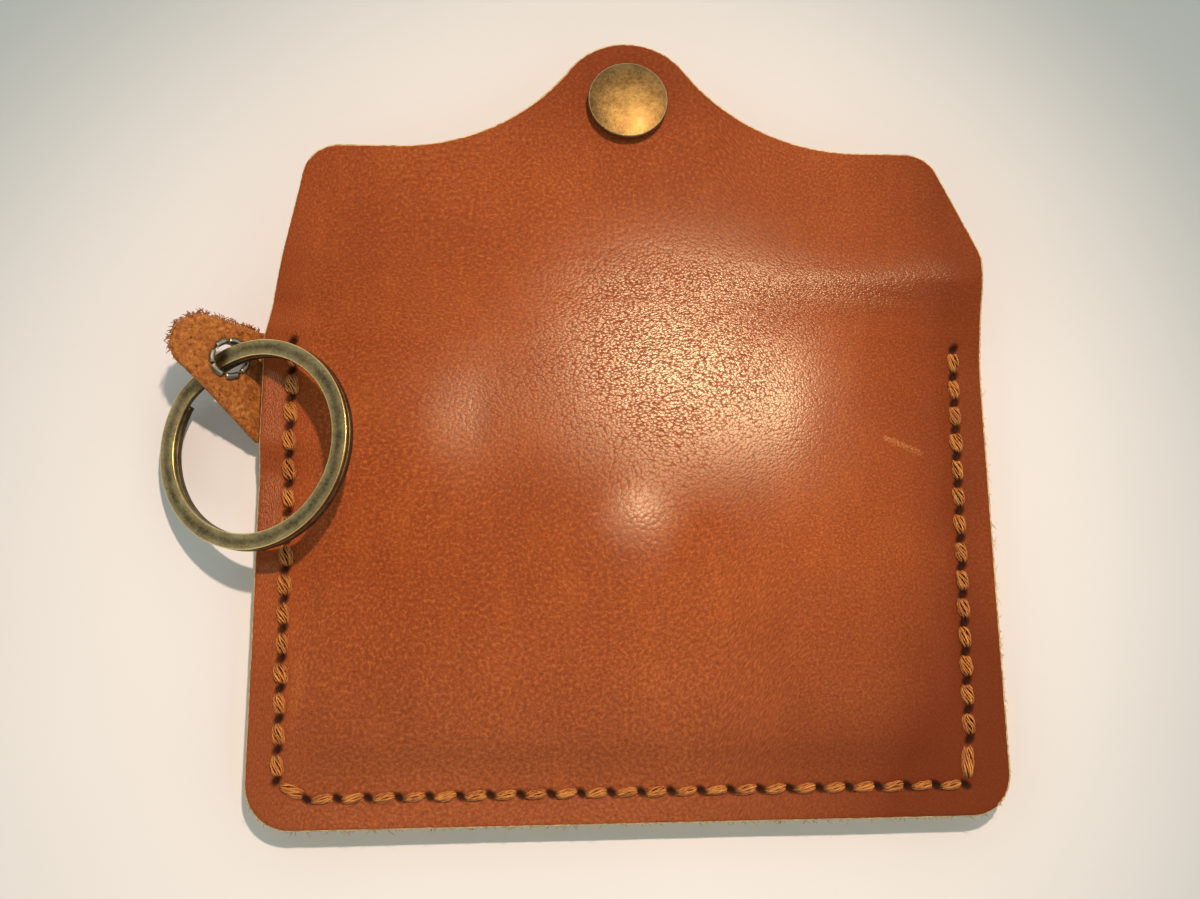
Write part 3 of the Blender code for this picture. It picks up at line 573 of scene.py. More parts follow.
def brass_finish(name, dark, mid, bright, rubbed_and_highlight, scale, rough):
    """Antique brass: mottled patina; bright where an edge is rubbed, which on the ring's upper
    edges is also painted highlight; near black as painted shade on the ring's side walls, lower
    turn and face middles.
    """
    f = Finish(name)
    cloud = f.grain(0.5 * scale, 4.0, roughness=0.65)
    fleck = f.grain(2.6 * scale, 4.0, roughness=0.7)
    patina = f.ramp(cloud * 0.55 + fleck * 0.45, (0.38, dark), (0.5, mid), (0.64, bright))
    wear_and_painted_light = f.maths("MULTIPLY", f.layer("proud"), 0.5 + fleck * 0.9, clamp=True)
    colour = f.mix(f.layer("sunk") * 0.8, f.mix(wear_and_painted_light, patina, rubbed_and_highlight), (0.03, 0.018, 0.009))
    shine = rough + fleck * 0.22 - wear_and_painted_light * 0.16
    normal = f.bump(fleck + cloud, 0.02 * MM)
    return f.set(base_color=colour, metallic=1.0, roughness=shine, normal=normal)


def steel_finish():
    """Bright spring wire."""
    f = Finish("spring_steel")
    drawn = f.grain(3.0, 4.0)
    colour = f.ramp(drawn, (0.3, (0.32, 0.31, 0.3)), (0.7, (0.62, 0.61, 0.6)))
    shine = 0.25 + drawn * 0.15
    normal = f.bump(drawn, 0.01 * MM)
    return f.set(base_color=colour, metallic=1.0, roughness=shine, normal=normal)


def table_finish():
    """The plain pale table."""
    f = Finish("pale_table")
    place = f.scaled(f.node("TexCoord", {}, {}, "Object"), 1 / MM)
    colour = f.ramp(f.grain(0.02, vector=place), (0.3, (0.86, 0.84, 0.79)),
                    (0.7, (0.88, 0.86, 0.81)))
    return f.set(base_color=colour, roughness=0.8, specular_ior_level=0.1)


# Meshes


def put(name, data):
    """A new object in the scene."""
    made = bpy.data.objects.new(name, data)
    bpy.context.scene.collection.objects.link(made)
    return made


def listed_mesh(name, verts, faces):
    """A mesh from lists of points and faces."""
    mesh = bpy.data.meshes.new(name)
    mesh.from_pydata(verts, [], faces)
    return mesh


def drawn_mesh(name, bm):
    """A mesh from an edit mesh, which is freed."""
    mesh = bpy.data.meshes.new(name)
    bm.to_mesh(mesh)
    bm.free()
    return mesh


def keep_values(mesh, name, values):
    """Stores a value for each point of a mesh."""
    layer = mesh.attributes.new(name, "FLOAT", "POINT")
    layer.data.foreach_set("value", np.asarray(values, np.float32))


def keep_places(mesh, name, places):
    """Stores a place for each point of a mesh, over what it held there before."""
    layer = mesh.attributes.get(name) or mesh.attributes.new(name, "FLOAT_VECTOR", "POINT")
    layer.data.foreach_set("vector", places)


def keep_rest_place(mesh):
    """Stores where each point rests, which the finishes follow in every pose."""
    places = np.empty(len(mesh.vertices) * 3, np.float32)
    mesh.vertices.foreach_get("co", places)
    keep_places(mesh, "rest_place", places)


def add_piece(name, mesh, *finishes, **layers):
    """A piece from its mesh, with its finishes and one value per point for each named layer."""
    for layer_name, values in layers.items():
        keep_values(mesh, layer_name, values)
    keep_rest_place(mesh)
    for finish in finishes:
        mesh.materials.append(finish)
    mesh.polygons.foreach_set("use_smooth", [True] * len(mesh.polygons))
    return put(name, mesh)


def arc(centre, radius, start, end, step=6.0):
    """Points along an arc, in degrees, from start to end."""
    count = max(2, math.ceil(abs(end - start) / step))
    angles = [math.radians(start + (end - start) * index / count) for index in range(count + 1)]
    return [Vector((centre[0] + radius * math.cos(a), centre[1] + radius * math.sin(a)))
            for a in angles]


def rounded(before, corner, after, radius, step=7.0):
    """The arc that rounds one corner of an outline."""
    corner = Vector(corner)
    back = (Vector(before) - corner).normalized()
    ahead = (Vector(after) - corner).normalized()
    half = back.angle(ahead) / 2
    centre = corner + (back + ahead).normalized() * radius / math.sin(half)
    start = corner + back * radius / math.tan(half) - centre
    end = corner + ahead * radius / math.tan(half) - centre
    turn = start.angle_signed(end)
    count = max(3, math.ceil(math.degrees(abs(turn)) / step))
    points = []
    for index in range(count + 1):
        spoke = start.copy()
        spoke.rotate(Matrix.Rotation(-turn * index / count, 2))
        points.append(centre + spoke)
    return points


def left_edge(y):
    """The left edge, which starts to draw in for the flap just below the fold."""
    return -HALF_WIDTH + FLAP_LEFT_STEP * max(0, 1 - (FOLD.y - y) / FLAP_LEFT_EASE)


def pocket_sides(top):
    """The pocket's edge below the given height, from its upper left to its upper right."""
    lower_left = (-HALF_WIDTH, BOTTOM_Y)
    lower_right = (HALF_WIDTH, BOTTOM_Y + BOTTOM_RIGHT_RISE)
    left = rounded((-HALF_WIDTH, top), lower_left, lower_right, LEFT_CORNER)
    right = rounded(lower_left, lower_right, (HALF_WIDTH, top), RIGHT_CORNER)
    ease_left = Vector((-HALF_WIDTH, FOLD.y - FLAP_LEFT_EASE))
    return [Vector((left_edge(top), top)), ease_left] + left + right + [Vector((HALF_WIDTH, top))]


def back_outline():
    """The back panel and flap in one outline, anticlockwise from the fold's left end."""
    over = FLAP_Y + TONGUE_FLARE - TONGUE_Y
    flare_x = math.sqrt((TONGUE_RADIUS + TONGUE_FLARE) ** 2 - over ** 2)
    flare_y = FLAP_Y + TONGUE_FLARE
    lean = math.degrees(math.atan2(over, flare_x))
    ease_right = (HALF_WIDTH, FOLD.y + FLAP_RIGHT_EASE)
    upper_right = (HALF_WIDTH - FLAP_RIGHT_TAPER, FLAP_Y)
    upper_left = (-HALF_WIDTH + FLAP_LEFT_TAPER, FLAP_Y)
    fold_left = (left_edge(FOLD.y), FOLD.y)
    points = pocket_sides(FOLD.y)
    points += rounded((HALF_WIDTH, FOLD.y), ease_right, upper_right, FLAP_CORNER)
    points += rounded(ease_right, upper_right, (0, FLAP_Y), FLAP_CORNER)
    points += arc((flare_x, flare_y), TONGUE_FLARE, 270.0, 180.0 + lean, step=3.0)
    points += arc((0, TONGUE_Y), TONGUE_RADIUS, lean, 180.0 - lean, step=4.0)[1:-1]
    points += arc((-flare_x, flare_y), TONGUE_FLARE, 360.0 - lean, 270.0, step=3.0)
    points += rounded((0, FLAP_Y), upper_left, fold_left, FLAP_CORNER)
    return points


def evened(outline, step=EDGE_STEP):
    """The outline in even steps, so that the edge strips are regular."""
    closed = outline + [outline[0]]
    lengths = np.cumsum([0.0] + [(b - a).length for a, b in zip(closed, closed[1:])])
    places = np.linspace(0, lengths[-1], round(lengths[-1] / step), endpoint=False)
    xs = np.interp(places, lengths, [point.x for point in closed])
    ys = np.interp(places, lengths, [point.y for point in closed])
    return [Vector((x, y)) for x, y in zip(xs, ys)]


def inward(outline):
    """Unit directions into the outline, which runs anticlockwise."""
    ways = []
    for index in range(len(outline)):
        ahead = outline[(index + 1) % len(outline)] - outline[index - 1]
        ways.append(Vector((-ahead.y, ahead.x)).normalized())
    return ways


def fill_side(bm, loop, level, lines, side):
    """Closes the top or bottom of a sheet with faces cut along lines, at the level's heights."""
    faces = [bm.faces.new(loop)]
    for axis in (0, 1):
        normal = Vector((0, 0, 0))
        normal[axis] = 1.0
        for line in lines[axis]:
            edges = {edge for face in faces for edge in face.edges}
            verts = {vert for face in faces for vert in face.verts}
            cut = bmesh.ops.bisect_plane(
                bm, geom=list(verts) + list(edges) + faces, plane_co=normal * line,
                plane_no=normal, dist=MERGE)
            faces = list(dict.fromkeys(
                [face for face in faces if face.is_valid]
                + [item for item in cut["geom"] if isinstance(item, bmesh.types.BMFace)]))
    for face in faces:
        face.material_index = side
    for vert in {vert for face in faces for vert in face.verts} - set(loop):
        vert.co.z = level(vert.co.x, vert.co.y)


def sheet_piece(name, outline, top, bottom, top_lines, bottom_lines, finishes):
    """A sheet of leather between two heights, with a rounded cut edge all round.

    Its finishes are those of its top, its bottom and its cut edge.
    """
    points = evened(outline)
    ways = inward(points)
    bm = bmesh.new()
    loops = []
    down = [(inset * MM, drop * MM, True) for inset, drop in EDGE_PROFILE]
    up = [(inset * MM, drop * MM, False) for inset, drop in reversed(EDGE_PROFILE)]
    for inset, drop, is_top in down + up:
        loop = []
        for point, way in zip(points, ways):
            fray = ripple(point.x, point.y, EDGE_FRAY_GRAIN, EDGE_FRAY_GRAIN, drop / MM)
            place = point + way * (inset + abs(EDGE_FRAY * fray * (1 - inset / MM)))
            at_x, at_y = place
            level = top(at_x, at_y) - drop if is_top else bottom(at_x, at_y) + drop
            loop.append(bm.verts.new((at_x, at_y, level)))
        loops.append(loop)

    # The upper strips have the top's finish, the lower ones the bottom's, and those between them
    # the cut edge's. On the right and along the top the pale cut edge starts one strip higher:
    # painted highlight on the edges that face the light.
    edge_strips = range(2, len(loops) - 3)
    for strip, (upper, lower) in enumerate(zip(loops, loops[1:])):
        side = 2 if strip in edge_strips else int(strip > edge_strips[-1])
        for index, way in enumerate(ways):
            after = (index + 1) % len(ways)
            face = bm.faces.new((upper[index], lower[index], lower[after], upper[after]))
            face.material_index = 2 if strip == 1 and min(way) < -0.6 else side
    fill_side(bm, loops[0], top, top_lines, 0)
    fill_side(bm, loops[-1][::-1], bottom, bottom_lines, 1)
    bmesh.ops.recalc_face_normals(bm, faces=bm.faces)

    places = [(vert.co.x / MM, vert.co.y / MM) for vert in bm.verts]
    drawn = np.asarray([grain_place(*place) for place in places], np.float32)
    mesh = drawn_mesh(name, bm)
    keep_places(mesh, "grain_place", drawn.ravel() * MM)
    wear_and_painted_light = {"opened": grain_opened, "tone": grain_shade_and_mottling, "polish": grain_polish}
    layers = {layer: [wear(*place) for place in places] for layer, wear in wear_and_painted_light.items()}
    return add_piece(name, mesh, *finishes, **layers)


# Wear, by the place on the leather in millimetres


def grain_opened(x, y):
    """How far the grain stands open: by the fold, in the middle and at the left edge."""
    middle = 1.15 * spot(x - 6, y - 22, 18, 13)
    bump = 0.4 * math.exp(-(x ** 2 + y ** 2) / 30)
    fold = 0.75 * bell(y, 33, 6) * ease((x + 20) / 30)
    margin = 0.8 * ease((-49.8 - x) / 2) * ease((24 - y) / 6) * ease((y + 12) / 12)
    patches = 0.4 * ripple(x, y, 11, 11, 4) * (0.2 + middle)
    return kept(0.08 + middle + bump + fold + margin + patches, 1.0)


def grain_shade_and_mottling(x, y):
    """How far the leather is painted darker: painted shade towards the lower right, the bottom, the
    sides, the top and the tongue, in the groove and the dimple, with random darker patches.
    """
    low_right = 0.5 * ease((x + 5) / 55) * ease((-2 - y) / 38)
    low = 0.15 * ease((-12 - y) / 30)
    tongue = 0.34 * ease((y - 54) / 16)
    side = 0.38 * ease((x - 30) / 18) + 0.14 * ease((x - 45) / 3) + 0.12 * ease((-46 - x) / 6)
    cloud = 0.16 * ripple(x, y, 30, 16, 9) + 0.08 * ripple(x, y, 7, 9, 6)
    groove = 0.1 * bell(x, 9.5 + 0.05 * y, 1.6) * ease((y + 24) / 8) * ease((2 - y) / 8)
    groove += 0.13 * spot(x - 24, y + 18, 14, 12)
    dimple = 0.22 * spot(x + 21.5, y - 14, 1.3, 4)
    upper = 0.12 * ease((y - 26) / 14)
    return kept(0.06 + upper + low_right + low + tongue + side + cloud + groove + dimple, 0.85)


def grain_polish(x, y):
    """How far wear has polished the leather: over the cards, the stud, the fold and the tab."""
    cards = 0.9 * spot(x - 7, y - 24, 16, 14)
    left = 0.62 * spot(x + 28.5, y - 16, 8.5, 9)
    right = 0.5 * spot(x - 26, y - 16, 10, 9)
    bump = 0.42 * math.exp(-((x - 0.8) ** 2 + (y + 1.6) ** 2) / 24)
    crest = 0.4 * bell(y, 35.0, 3.2) * ease((x - 4) / 16) * ease((52 - x) / 8)
    valley = 0.12 * bell(x, 9.0 + 0.05 * y, 4.0) * ease((6 - y) / 14)
    margin = 0.2 * ease((-49.8 - x) / 1.5) * ease((26 - y) / 8) * ease((y + 14) / 12)
    return kept(cards + left + right + bump + crest + margin - valley, 1.0)


def grain_place(x, y):
    """Where the grain's pattern is read, drawn out along the fold and swirled a little."""
    finer = 1.5 * math.log1p(math.exp((x - 18) / 4)) + 2.4 * math.log1p(math.exp(-47.5 - x))
    closer = 1 + 0.35 * ease((x - 10) / 16)
    pressed = 4.5 * math.tanh((y - 31) / 7) + 1.5 * math.tanh((y - 14) / 9)
    across = x + 2.4 * ripple(x, y, 24, 24, 1) + (finer if x > 0 else -finer)
    along = (y - 20) * closer + pressed + 2.0 * ripple(x, y, 19, 19, 2)
    return across, along, 0.0


# Seam


def seam_runs():
    """The three straight runs of the seam: start, end and number of stitches in each."""
    corner = Vector((SEAM_LEFT_X + SEAM_CORNER_STEP, SEAM_Y))
    right_x = SEAM_RIGHT_X - SEAM_RIGHT_LEAN
    runs = [
        (Vector((SEAM_LEFT_X, SEAM_TOP_Y)), Vector((SEAM_LEFT_X, SEAM_Y + SEAM_LEFT_RISE))),
        (corner, Vector((right_x - SEAM_CORNER_TIP / 2, SEAM_Y + BOTTOM_RIGHT_RISE))),
        (Vector((right_x, SEAM_Y + SEAM_RIGHT_RISE)), Vector((SEAM_RIGHT_X, SEAM_TOP_Y))),
    ]
    return [(start, end, round((end - start).length / STITCH_PITCH)) for start, end in runs]


def seam_holes():
    """Every hole of the seam, in the order in which the thread goes through them."""
    holes = []
    for start, end, count in seam_runs():
        holes += [start.lerp(end, index / count) for index in range(count + 1)]
    return holes


HOLES = seam_holes()


def stitch_pull(x, y):
    """How far the thread draws the leather down: along the seam, and more at each hole."""
    pull = 0.0
    for hole in HOLES:
        dx = x - hole.x
        dy = y - hole.y
        if abs(dx) < PULL_LIMIT and abs(dy) < PULL_LIMIT:
            far = dx * dx + dy * dy
            pull = max(pull, HOLE_PULL * math.exp(-far / HOLE_PULL_REACH ** 2),
                       LINE_PULL * math.exp(-far / LINE_PULL_REACH ** 2))
    return pull


def stitch_fullness(share):
    """How far a stitch's strands spread: least in its first hole, most in its middle."""
    if share < 0.5:
        return 0.4 + 0.6 * ease(share / 0.42)
    return 0.55 + 0.45 * ease((1 - share) / 0.3)


def stitch_paths(level, way, seed):
    """The strands of each stitch on one face: out of one hole, over the leather, into the next.

    Gives their paths, their radii, and how deep, of which strand and how far aside each point is.
    """
    chance = random.Random(seed)
    paths = []
    radii = []
    layers = {"deep": [], "strand": [], "aside": []}
    for first, second in zip(HOLES, HOLES[1:]):
        ahead = (second - first).normalized()
        across = Vector((-ahead.y, ahead.x))
        start = first - across * STITCH_SLANT
        end = second + across * STITCH_SLANT
        swell = chance.uniform(0.85, 1.1) * (1 + STITCH_SPREAD * abs(ahead.y))
        roll = chance.uniform(1.3, 2.6)
        for strand in range(STRANDS):
            path = []
            thin = chance.uniform(0.55, 1.0)
            stray = (1.15 - thin) * STITCH_STRAY
            lag = chance.uniform(-0.03, 0.03)
            for share in STITCH_SHARES:
                out = min(share, 1 - share)
                turn = math.tau * strand / STRANDS + roll * (share - 0.5)
                wide = STITCH_WIDE * stitch_fullness(share) * swell
                centre = start.lerp(end, STITCH_END + lag + (1 - 2 * STITCH_END) * share)
                wave = stray * math.sin(7 * share + 2.4 * strand + 5 * swell)
                flat = centre + across * (wide * math.sin(turn) + wave)
                rise = STITCH_TALL * math.cos(turn) + STITCH_CROWN * ease(out / 0.5)
                rise += STITCH_WAVE * math.sin(9 * share + 2.1 * strand)
                rise -= STITCH_DIVE * (1 - ease(out / 0.14))
                height = level(centre.x, centre.y) + way * rise
                path.append(Vector((flat.x, flat.y, height)))
                layers["deep"].append(1 - min(ease(share / 0.26), ease((1 - share) / 0.12)))
                layers["strand"].append(strand + 7.0 * swell)
                layers["aside"].append(abs(math.sin(turn)) ** 3)
            paths.append(path)
            radii.append([STRAND_RADIUS * thin] * len(path))
    return paths, radii, layers


# Panels


def tab_lift(x, y):
    """How far the key tab's sewn end lifts the back panel."""
    along = min(y - TAB_BOTTOM, TAB_TOP - y) / TAB_LIFT_RUN + 1
    inside = (-HALF_WIDTH + TAB_ROOT_DEPTH - x) / TAB_LIFT_RUN + 1
    return (SKIVED_LEATHER + SEAT_GAP) * ease(along) * ease(inside)


def pillow(share):
    """A cushion's height at a share of the way in: steepest at its edge, and round."""
    share = kept(share, 1.0)
    return (1 - (1 - share) ** 3) * ease(share * 6)


def back_flesh(x, y):
    """Height of the back's flesh side: sewn down at three edges and full between them."""
    room_x = (SEAM_RIGHT_X - SEAM_FOOT - abs(x)) / POCKET_RUN
    room_y = (y - SEAM_Y - SEAM_FOOT) / BOTTOM_RUN
    inside = pillow(room_x) * pillow(room_y)
    loose = ease((y - SEAM_TOP_Y + FOLD_LIFT_START) / FLAP_SETTLE)
    full = inside + (1 - inside) * loose
    imprint = IMPRINT_RISE * bell(math.hypot(x, y), 0.0, IMPRINT_RADIUS)
    return BACK_LEVEL + POCKET_ROOM * full + imprint + tab_lift(x, y) * (1 - full)


def smooth_back(x, y):
    """Height on which the back's stitches lie."""
    return back_flesh(x, y) + LEATHER


def back_grain(x, y):
    """Height of the back's grain side, with the ripples, creases and dimples of use."""
    mx = x / MM
    my = y / MM
    fold = bell(my, 30.0, 9.0)
    relief = 0.05 * fold * ripple(mx, my, 8.0, 1.3) + 0.09 * fold * ripple(mx, my, 18.0, 3.2, 2.0)
    relief += 0.14 * ripple(mx, my, 26.0, 20.0, 5.0) + 0.05 * ripple(mx, my, 9.0, 9.0, 3.0)
    relief += 0.22 * bell(my, 36.0, 2.2) * ease((mx - 10) / 25)
    relief -= 0.14 * bell(my, 31.0, 3.0) * ease((mx - 14) / 22)
    relief -= 0.1 * bell(mx, 9.5 + 0.05 * my, 2.0) * ease((my + 24) / 8) * ease((2 - my) / 8)
    relief -= 0.05 * spot(mx + 21.5, my - 14.0, 2.2, 5.0)
    relief += 0.42 * spot(mx + 31.5, my - 14.0, 6.5, 9.0)
    relief += 0.26 * spot(mx - 24.0, my - 15.0, 6.0, 7.0)
    relief += 0.05 * bell(math.hypot(mx, my), 0.0, 3.6)
    return smooth_back(x, y) + relief * MM - stitch_pull(x, y)


def stud_dish(x, y):
    """How far the stud pushes the front panel up round it."""
    return STUD_TOP * ease((DISH_FLAT + DISH_RUN - math.hypot(x, y)) / DISH_RUN)


def front_grain(x, y):
    """Height of the front's grain side: flat, with the stud's dish and the thread's groove."""
    return stud_dish(x, y) + stitch_pull(x, y) * 0.9


def front_flesh(x, y):
    """Height of the front's flesh side, inside the pocket."""
    return stud_dish(x, y) + LEATHER


def smooth_front(x, y):
    """Height on which the front's stitches lie."""
    return front_grain(x, y) + STITCH_SEAT


def even_lines(low, high, step):
    """Where lines cut a span into even parts of about the given step."""
    count = max(1, round((high - low) / step))
    return [low + (high - low) * index / count for index in range(1, count)]


def with_dense(lines, centres):
    """Lines with some added close to each seam's centre, and the plain ones there left out."""
    reach = max(NEAR_SEAM) * 1.3
    plain = [line for line in lines if all(abs(line - centre) > reach for centre in centres)]
    added = [centre + side * offset
             for centre in centres for offset in NEAR_SEAM for side in (-1, 1)]
    return sorted(plain + added)


def panel_lines(step, top):
    """Lines across and up a panel that ends at the given height, close along the seams."""
    across = even_lines(-HALF_WIDTH, HALF_WIDTH, step)
    upward = even_lines(BOTTOM_Y, top, step)
    return (with_dense(across, (SEAM_LEFT_X, SEAM_RIGHT_MIDDLE)),
            with_dense(upward, (SEAM_BOTTOM_MIDDLE,)))


def leather_pieces(grain, flesh, edge):
    """The back with its flap, and the front, with close lines along the fold and the seams."""
    xs, ys = panel_lines(BACK_STEP, FLAP_HIGH.y)
    fold_low, fold_high = FOLD_FINE
    ys = sorted([line for line in ys if not fold_low < line < fold_high]
                + even_lines(fold_low, fold_high, FOLD_STEP))
    coarse = (even_lines(-HALF_WIDTH, HALF_WIDTH, COARSE_STEP),
              even_lines(BOTTOM_Y, FLAP_HIGH.y, COARSE_STEP))
    back = sheet_piece("leather_back_and_flap", back_outline(), back_grain, back_flesh,
                       (xs, ys), coarse, (grain, flesh, edge))
    front = sheet_piece("leather_front", pocket_sides(MOUTH_Y), front_flesh, front_grain,
                        coarse, panel_lines(FRONT_STEP, MOUTH_Y), (flesh, grain, edge))
    return back, front


# Snap


def turned(name, profile, material, place, segments=96):
    """A closed profile of radii and heights in millimetres, turned about its place's axis."""
    profile = rounded_profile(profile)
    count = len(profile)
    bm = bmesh.new()
    proud = {}
    for index in range(segments):
        angle = math.tau * index / segments
        for r, z, edge in profile:
            vert = bm.verts.new((r * MM * math.cos(angle), r * MM * math.sin(angle), z * MM))
            proud[vert] = edge
    made = list(proud)
    for index in range(segments):
        here = index * count
        next_row = (index + 1) % segments * count
        for corner in range(count):
            after = (corner + 1) % count
            quad = (here + corner, next_row + corner, next_row + after, here + after)
            bm.faces.new([made[item] for item in quad])
    bmesh.ops.remove_doubles(bm, verts=bm.verts, dist=MERGE)
    bmesh.ops.recalc_face_normals(bm, faces=bm.faces)
    bmesh.ops.transform(bm, matrix=place, verts=bm.verts)
    values = [proud[vert] for vert in bm.verts]
    return add_piece(name, drawn_mesh(name, bm), material, proud=values)


def rounded_profile(profile):
    """Each corner of a profile as three points, and how proud each of them stands."""
    out = []
    for index, corner in enumerate(profile):
        here = Vector(corner)
        if here.x < 0.01:
            out.append((here.x, here.y, 0.0))
            continue
        back = Vector(profile[index - 1]) - here
        ahead = Vector(profile[(index + 1) % len(profile)]) - here
        reach = min(0.12, back.length * 0.3, ahead.length * 0.3)
        first = here + back.normalized() * reach
        last = here + ahead.normalized() * reach
        middle = (first + last + here * 2) / 4
        proud = ease(abs(back.normalized().cross(ahead.normalized())) * 2 - 0.3)
        out += [(*first, proud * 0.4), (*middle, proud), (*last, proud * 0.4)]
    return out


def cap_piece(material):
    """Domed cap with a rolled rim, on the post that holds the socket."""
    top = CAP_HIGH.z / MM
    low = CAP_LOW.z / MM
    seat = FLAP_HIGH.z / MM + 0.3
    radius = (CAP_HIGH.x - CAP_LOW.x) / 2 / MM
    crown = top - CAP_CROWN_DROP
    shoulder = top - CAP_SHOULDER_DROP
    shares = (0, 0.12, 0.24, 0.36, 0.48, 0.6, 0.7, 0.79, 0.86, 0.91, 0.95, 0.975)
    dome = [(radius * share, crown - (crown - shoulder) * share ** CAP_DOME_POWER)
            for share in shares]
    rim = [(radius * 0.992, shoulder - 0.16), (radius, shoulder - 0.34),
           (radius * 0.995, seat + 0.4), (radius * 0.975, seat + 0.12), (radius * 0.93, seat)]
    post = [(1.5, seat), (1.5, low + 1.0), (2.5, low + 1.0), (2.5, low + 0.5), (2.0, low), (0, low)]
    return turned("brass_cap", dome + rim + post, material, AT_CAP, segments=128)


def socket_piece(material):
    """Cup under the flap, with the groove that its spring lies in."""
    top = SOCKET_HIGH.z / MM
    low = SOCKET_LOW.z / MM
    profile = [(1.8, top), (4.4, top), (4.85, top - 0.2), (5.0, top - 0.6), (5.0, low + 0.7),
               (4.8, low + 0.2), (4.3, low), (3.35, low), (3.0, low + 0.2), (2.85, low + 0.5),
               (4.3, low + 0.5), (4.3, low + 1.5), (3.05, low + 1.5), (3.05, top - 0.5),
               (1.8, top - 0.5)]
    return turned("snap_cup", profile, material, AT_CAP)


def spring_piece(material):
    """Open ring of spring wire."""
    radius = (SPRING_HIGH.y - SPRING_LOW.y) / 2 - 0.3 * MM
    height = (SPRING_LOW.z + SPRING_HIGH.z) / 2
    path = [Vector((radius * math.cos(a), CAP_Y + radius * math.sin(a), height))
            for a in np.radians(np.linspace(30, 330, 61))]
    radii = [[SPRING_WIRE] * len(path)]
    return tube_piece("snap_ring_spring", [path], radii, material, sides=10)


def stud_piece(material):
    """Stud that the socket snaps over, with a broad foot against the front panel."""
    top = STUD_HIGH.z / MM
    profile = [(0, 1.1), (1.5, 1.1), (1.5, top), (4.3, top), (4.6, top - 0.25), (4.35, top - 0.5),
               (2.2, top - 0.5), (2.0, top - 0.8), (2.0, 1.5), (2.2, 1.25), (2.45, 1.0),
               (2.5, 0.75), (2.4, 0.4), (2.05, 0.12), (1.6, 0.0), (0, 0.0)]
    return turned("stud", profile, material, AT_STUD)


def post_piece(material):
    """Flat-headed post inside the pocket, which holds the stud."""
    top = POST_HIGH.z / MM
    low = POST_LOW.z / MM
    profile = [(0, top), (4.2, top), (4.6, top - 0.25), (4.3, top - 0.5), (1.2, top - 0.5),
               (1.2, low), (0, low)]
    return turned("stud_rivet", profile, material, AT_STUD)


# Thread and ring


def swept_faces(start, rows, count):
    """Faces of a closed section of so many points, swept through rows, with its ends closed."""
    faces = []
    for low in range(start, start + (rows - 1) * count, count):
        for corner in range(count):
            after = (corner + 1) % count
            faces.append((low + corner, low + after, low + count + after, low + count + corner))
    end = start + (rows - 1) * count
    faces.append(tuple(range(start + count - 1, start - 1, -1)))
    faces.append(tuple(range(end, end + count)))
    return faces


def tube_piece(name, paths, radii, material, sides, **layers):
    """Round tubes along paths, with a radius and values of any layers for each path's points.

    The piece also holds how far along and around its tube each point is.
    """
    verts = []
    faces = []
    along = []
    around = []
    for path, radii_here in zip(paths, radii):
        faces += swept_faces(len(verts), len(path), sides)
        side = (path[1] - path[0]).orthogonal().normalized()
        travelled = 0.0
        for index, point in enumerate(path):
            before = path[max(index - 1, 0)]
            ahead = (path[min(index + 1, len(path) - 1)] - before).normalized()
            side = (side - ahead * side.dot(ahead)).normalized()
            across = ahead.cross(side)
            travelled += (point - before).length
            for corner in range(sides):
                angle = math.tau * corner / sides
                spoke = side * math.cos(angle) + across * math.sin(angle)
                verts.append(point + spoke * radii_here[index])
                along.append(travelled / MM)
                around.append(0.5 + 0.5 * math.cos(angle))
    for key, values in layers.items():
        layers[key] = [value for value in values for _ in range(sides)]
    mesh = listed_mesh(name, verts, faces)
    return add_piece(name, mesh, material, along=along, around=around, **layers)


def seam_pieces(material):
    """The stitches on the back, and those on the front."""
    pieces = []
    for name, level, way, seed in (("stitches_back", smooth_back, 1, 3),
                                   ("stitches_front", smooth_front, -1, 4)):
        paths, radii, layers = stitch_paths(level, way, seed)
        pieces.append(tube_piece(name, paths, radii, material, sides=6, **layers))
    return pieces


def ring_place():
    """The ring's place: low edge just over the table, leaning up on the pocket's edge."""
    tilt = math.radians(RING_TILT)
    low = RING_RADIUS * math.sin(tilt) + RING_STACK / 2 * math.cos(tilt) + RING_TABLE_GAP
    centre = Vector((-HALF_WIDTH, FOLD.y - RING_CENTRE_DROP, low))
    return Matrix.Translation(centre) @ Matrix.Rotation(-tilt, 4, "Y")


def ring_section():
    """The wire's section from its upper outer corner: radius, height, how proud, and how far it is
    painted dark as shade.
    """
    inner = RING_RADIUS - RING_BAND
    half = RING_WIRE / 2
    section = []
    corners = ((RING_RADIUS, half), (inner, half), (inner, -half), (RING_RADIUS, -half))
    for number, (radius, height) in enumerate(corners):
        centre_r = radius + (RING_ROUND if radius == inner else -RING_ROUND)
        centre_z = height - math.copysign(RING_ROUND, height)
        for angle, proud in ((0, 0.45), (22.5, 0.9), (45, 0.9), (67.5, 0.9), (90, 0.45)):
            turn = math.radians(90 * number + angle)
            section.append((centre_r + RING_ROUND * math.cos(turn),
                            centre_z + RING_ROUND * math.sin(turn), proud, 0.0))
        # Painted shade: darker across the middle of each flat face and on the side walls
        if number in (0, 2):
            far = inner if radius == RING_RADIUS else RING_RADIUS
            for share in (0.1, 0.25, 0.4, 0.5, 0.6, 0.75, 0.9):
                middle = bell(share, 0.5, 0.26)
                section.append((radius + (far - radius) * share, height,
                                0.3 * (1 - middle), 0.5 * middle))
        else:
            section.append((radius, 0.0, 0.0, 0.85))
    return section


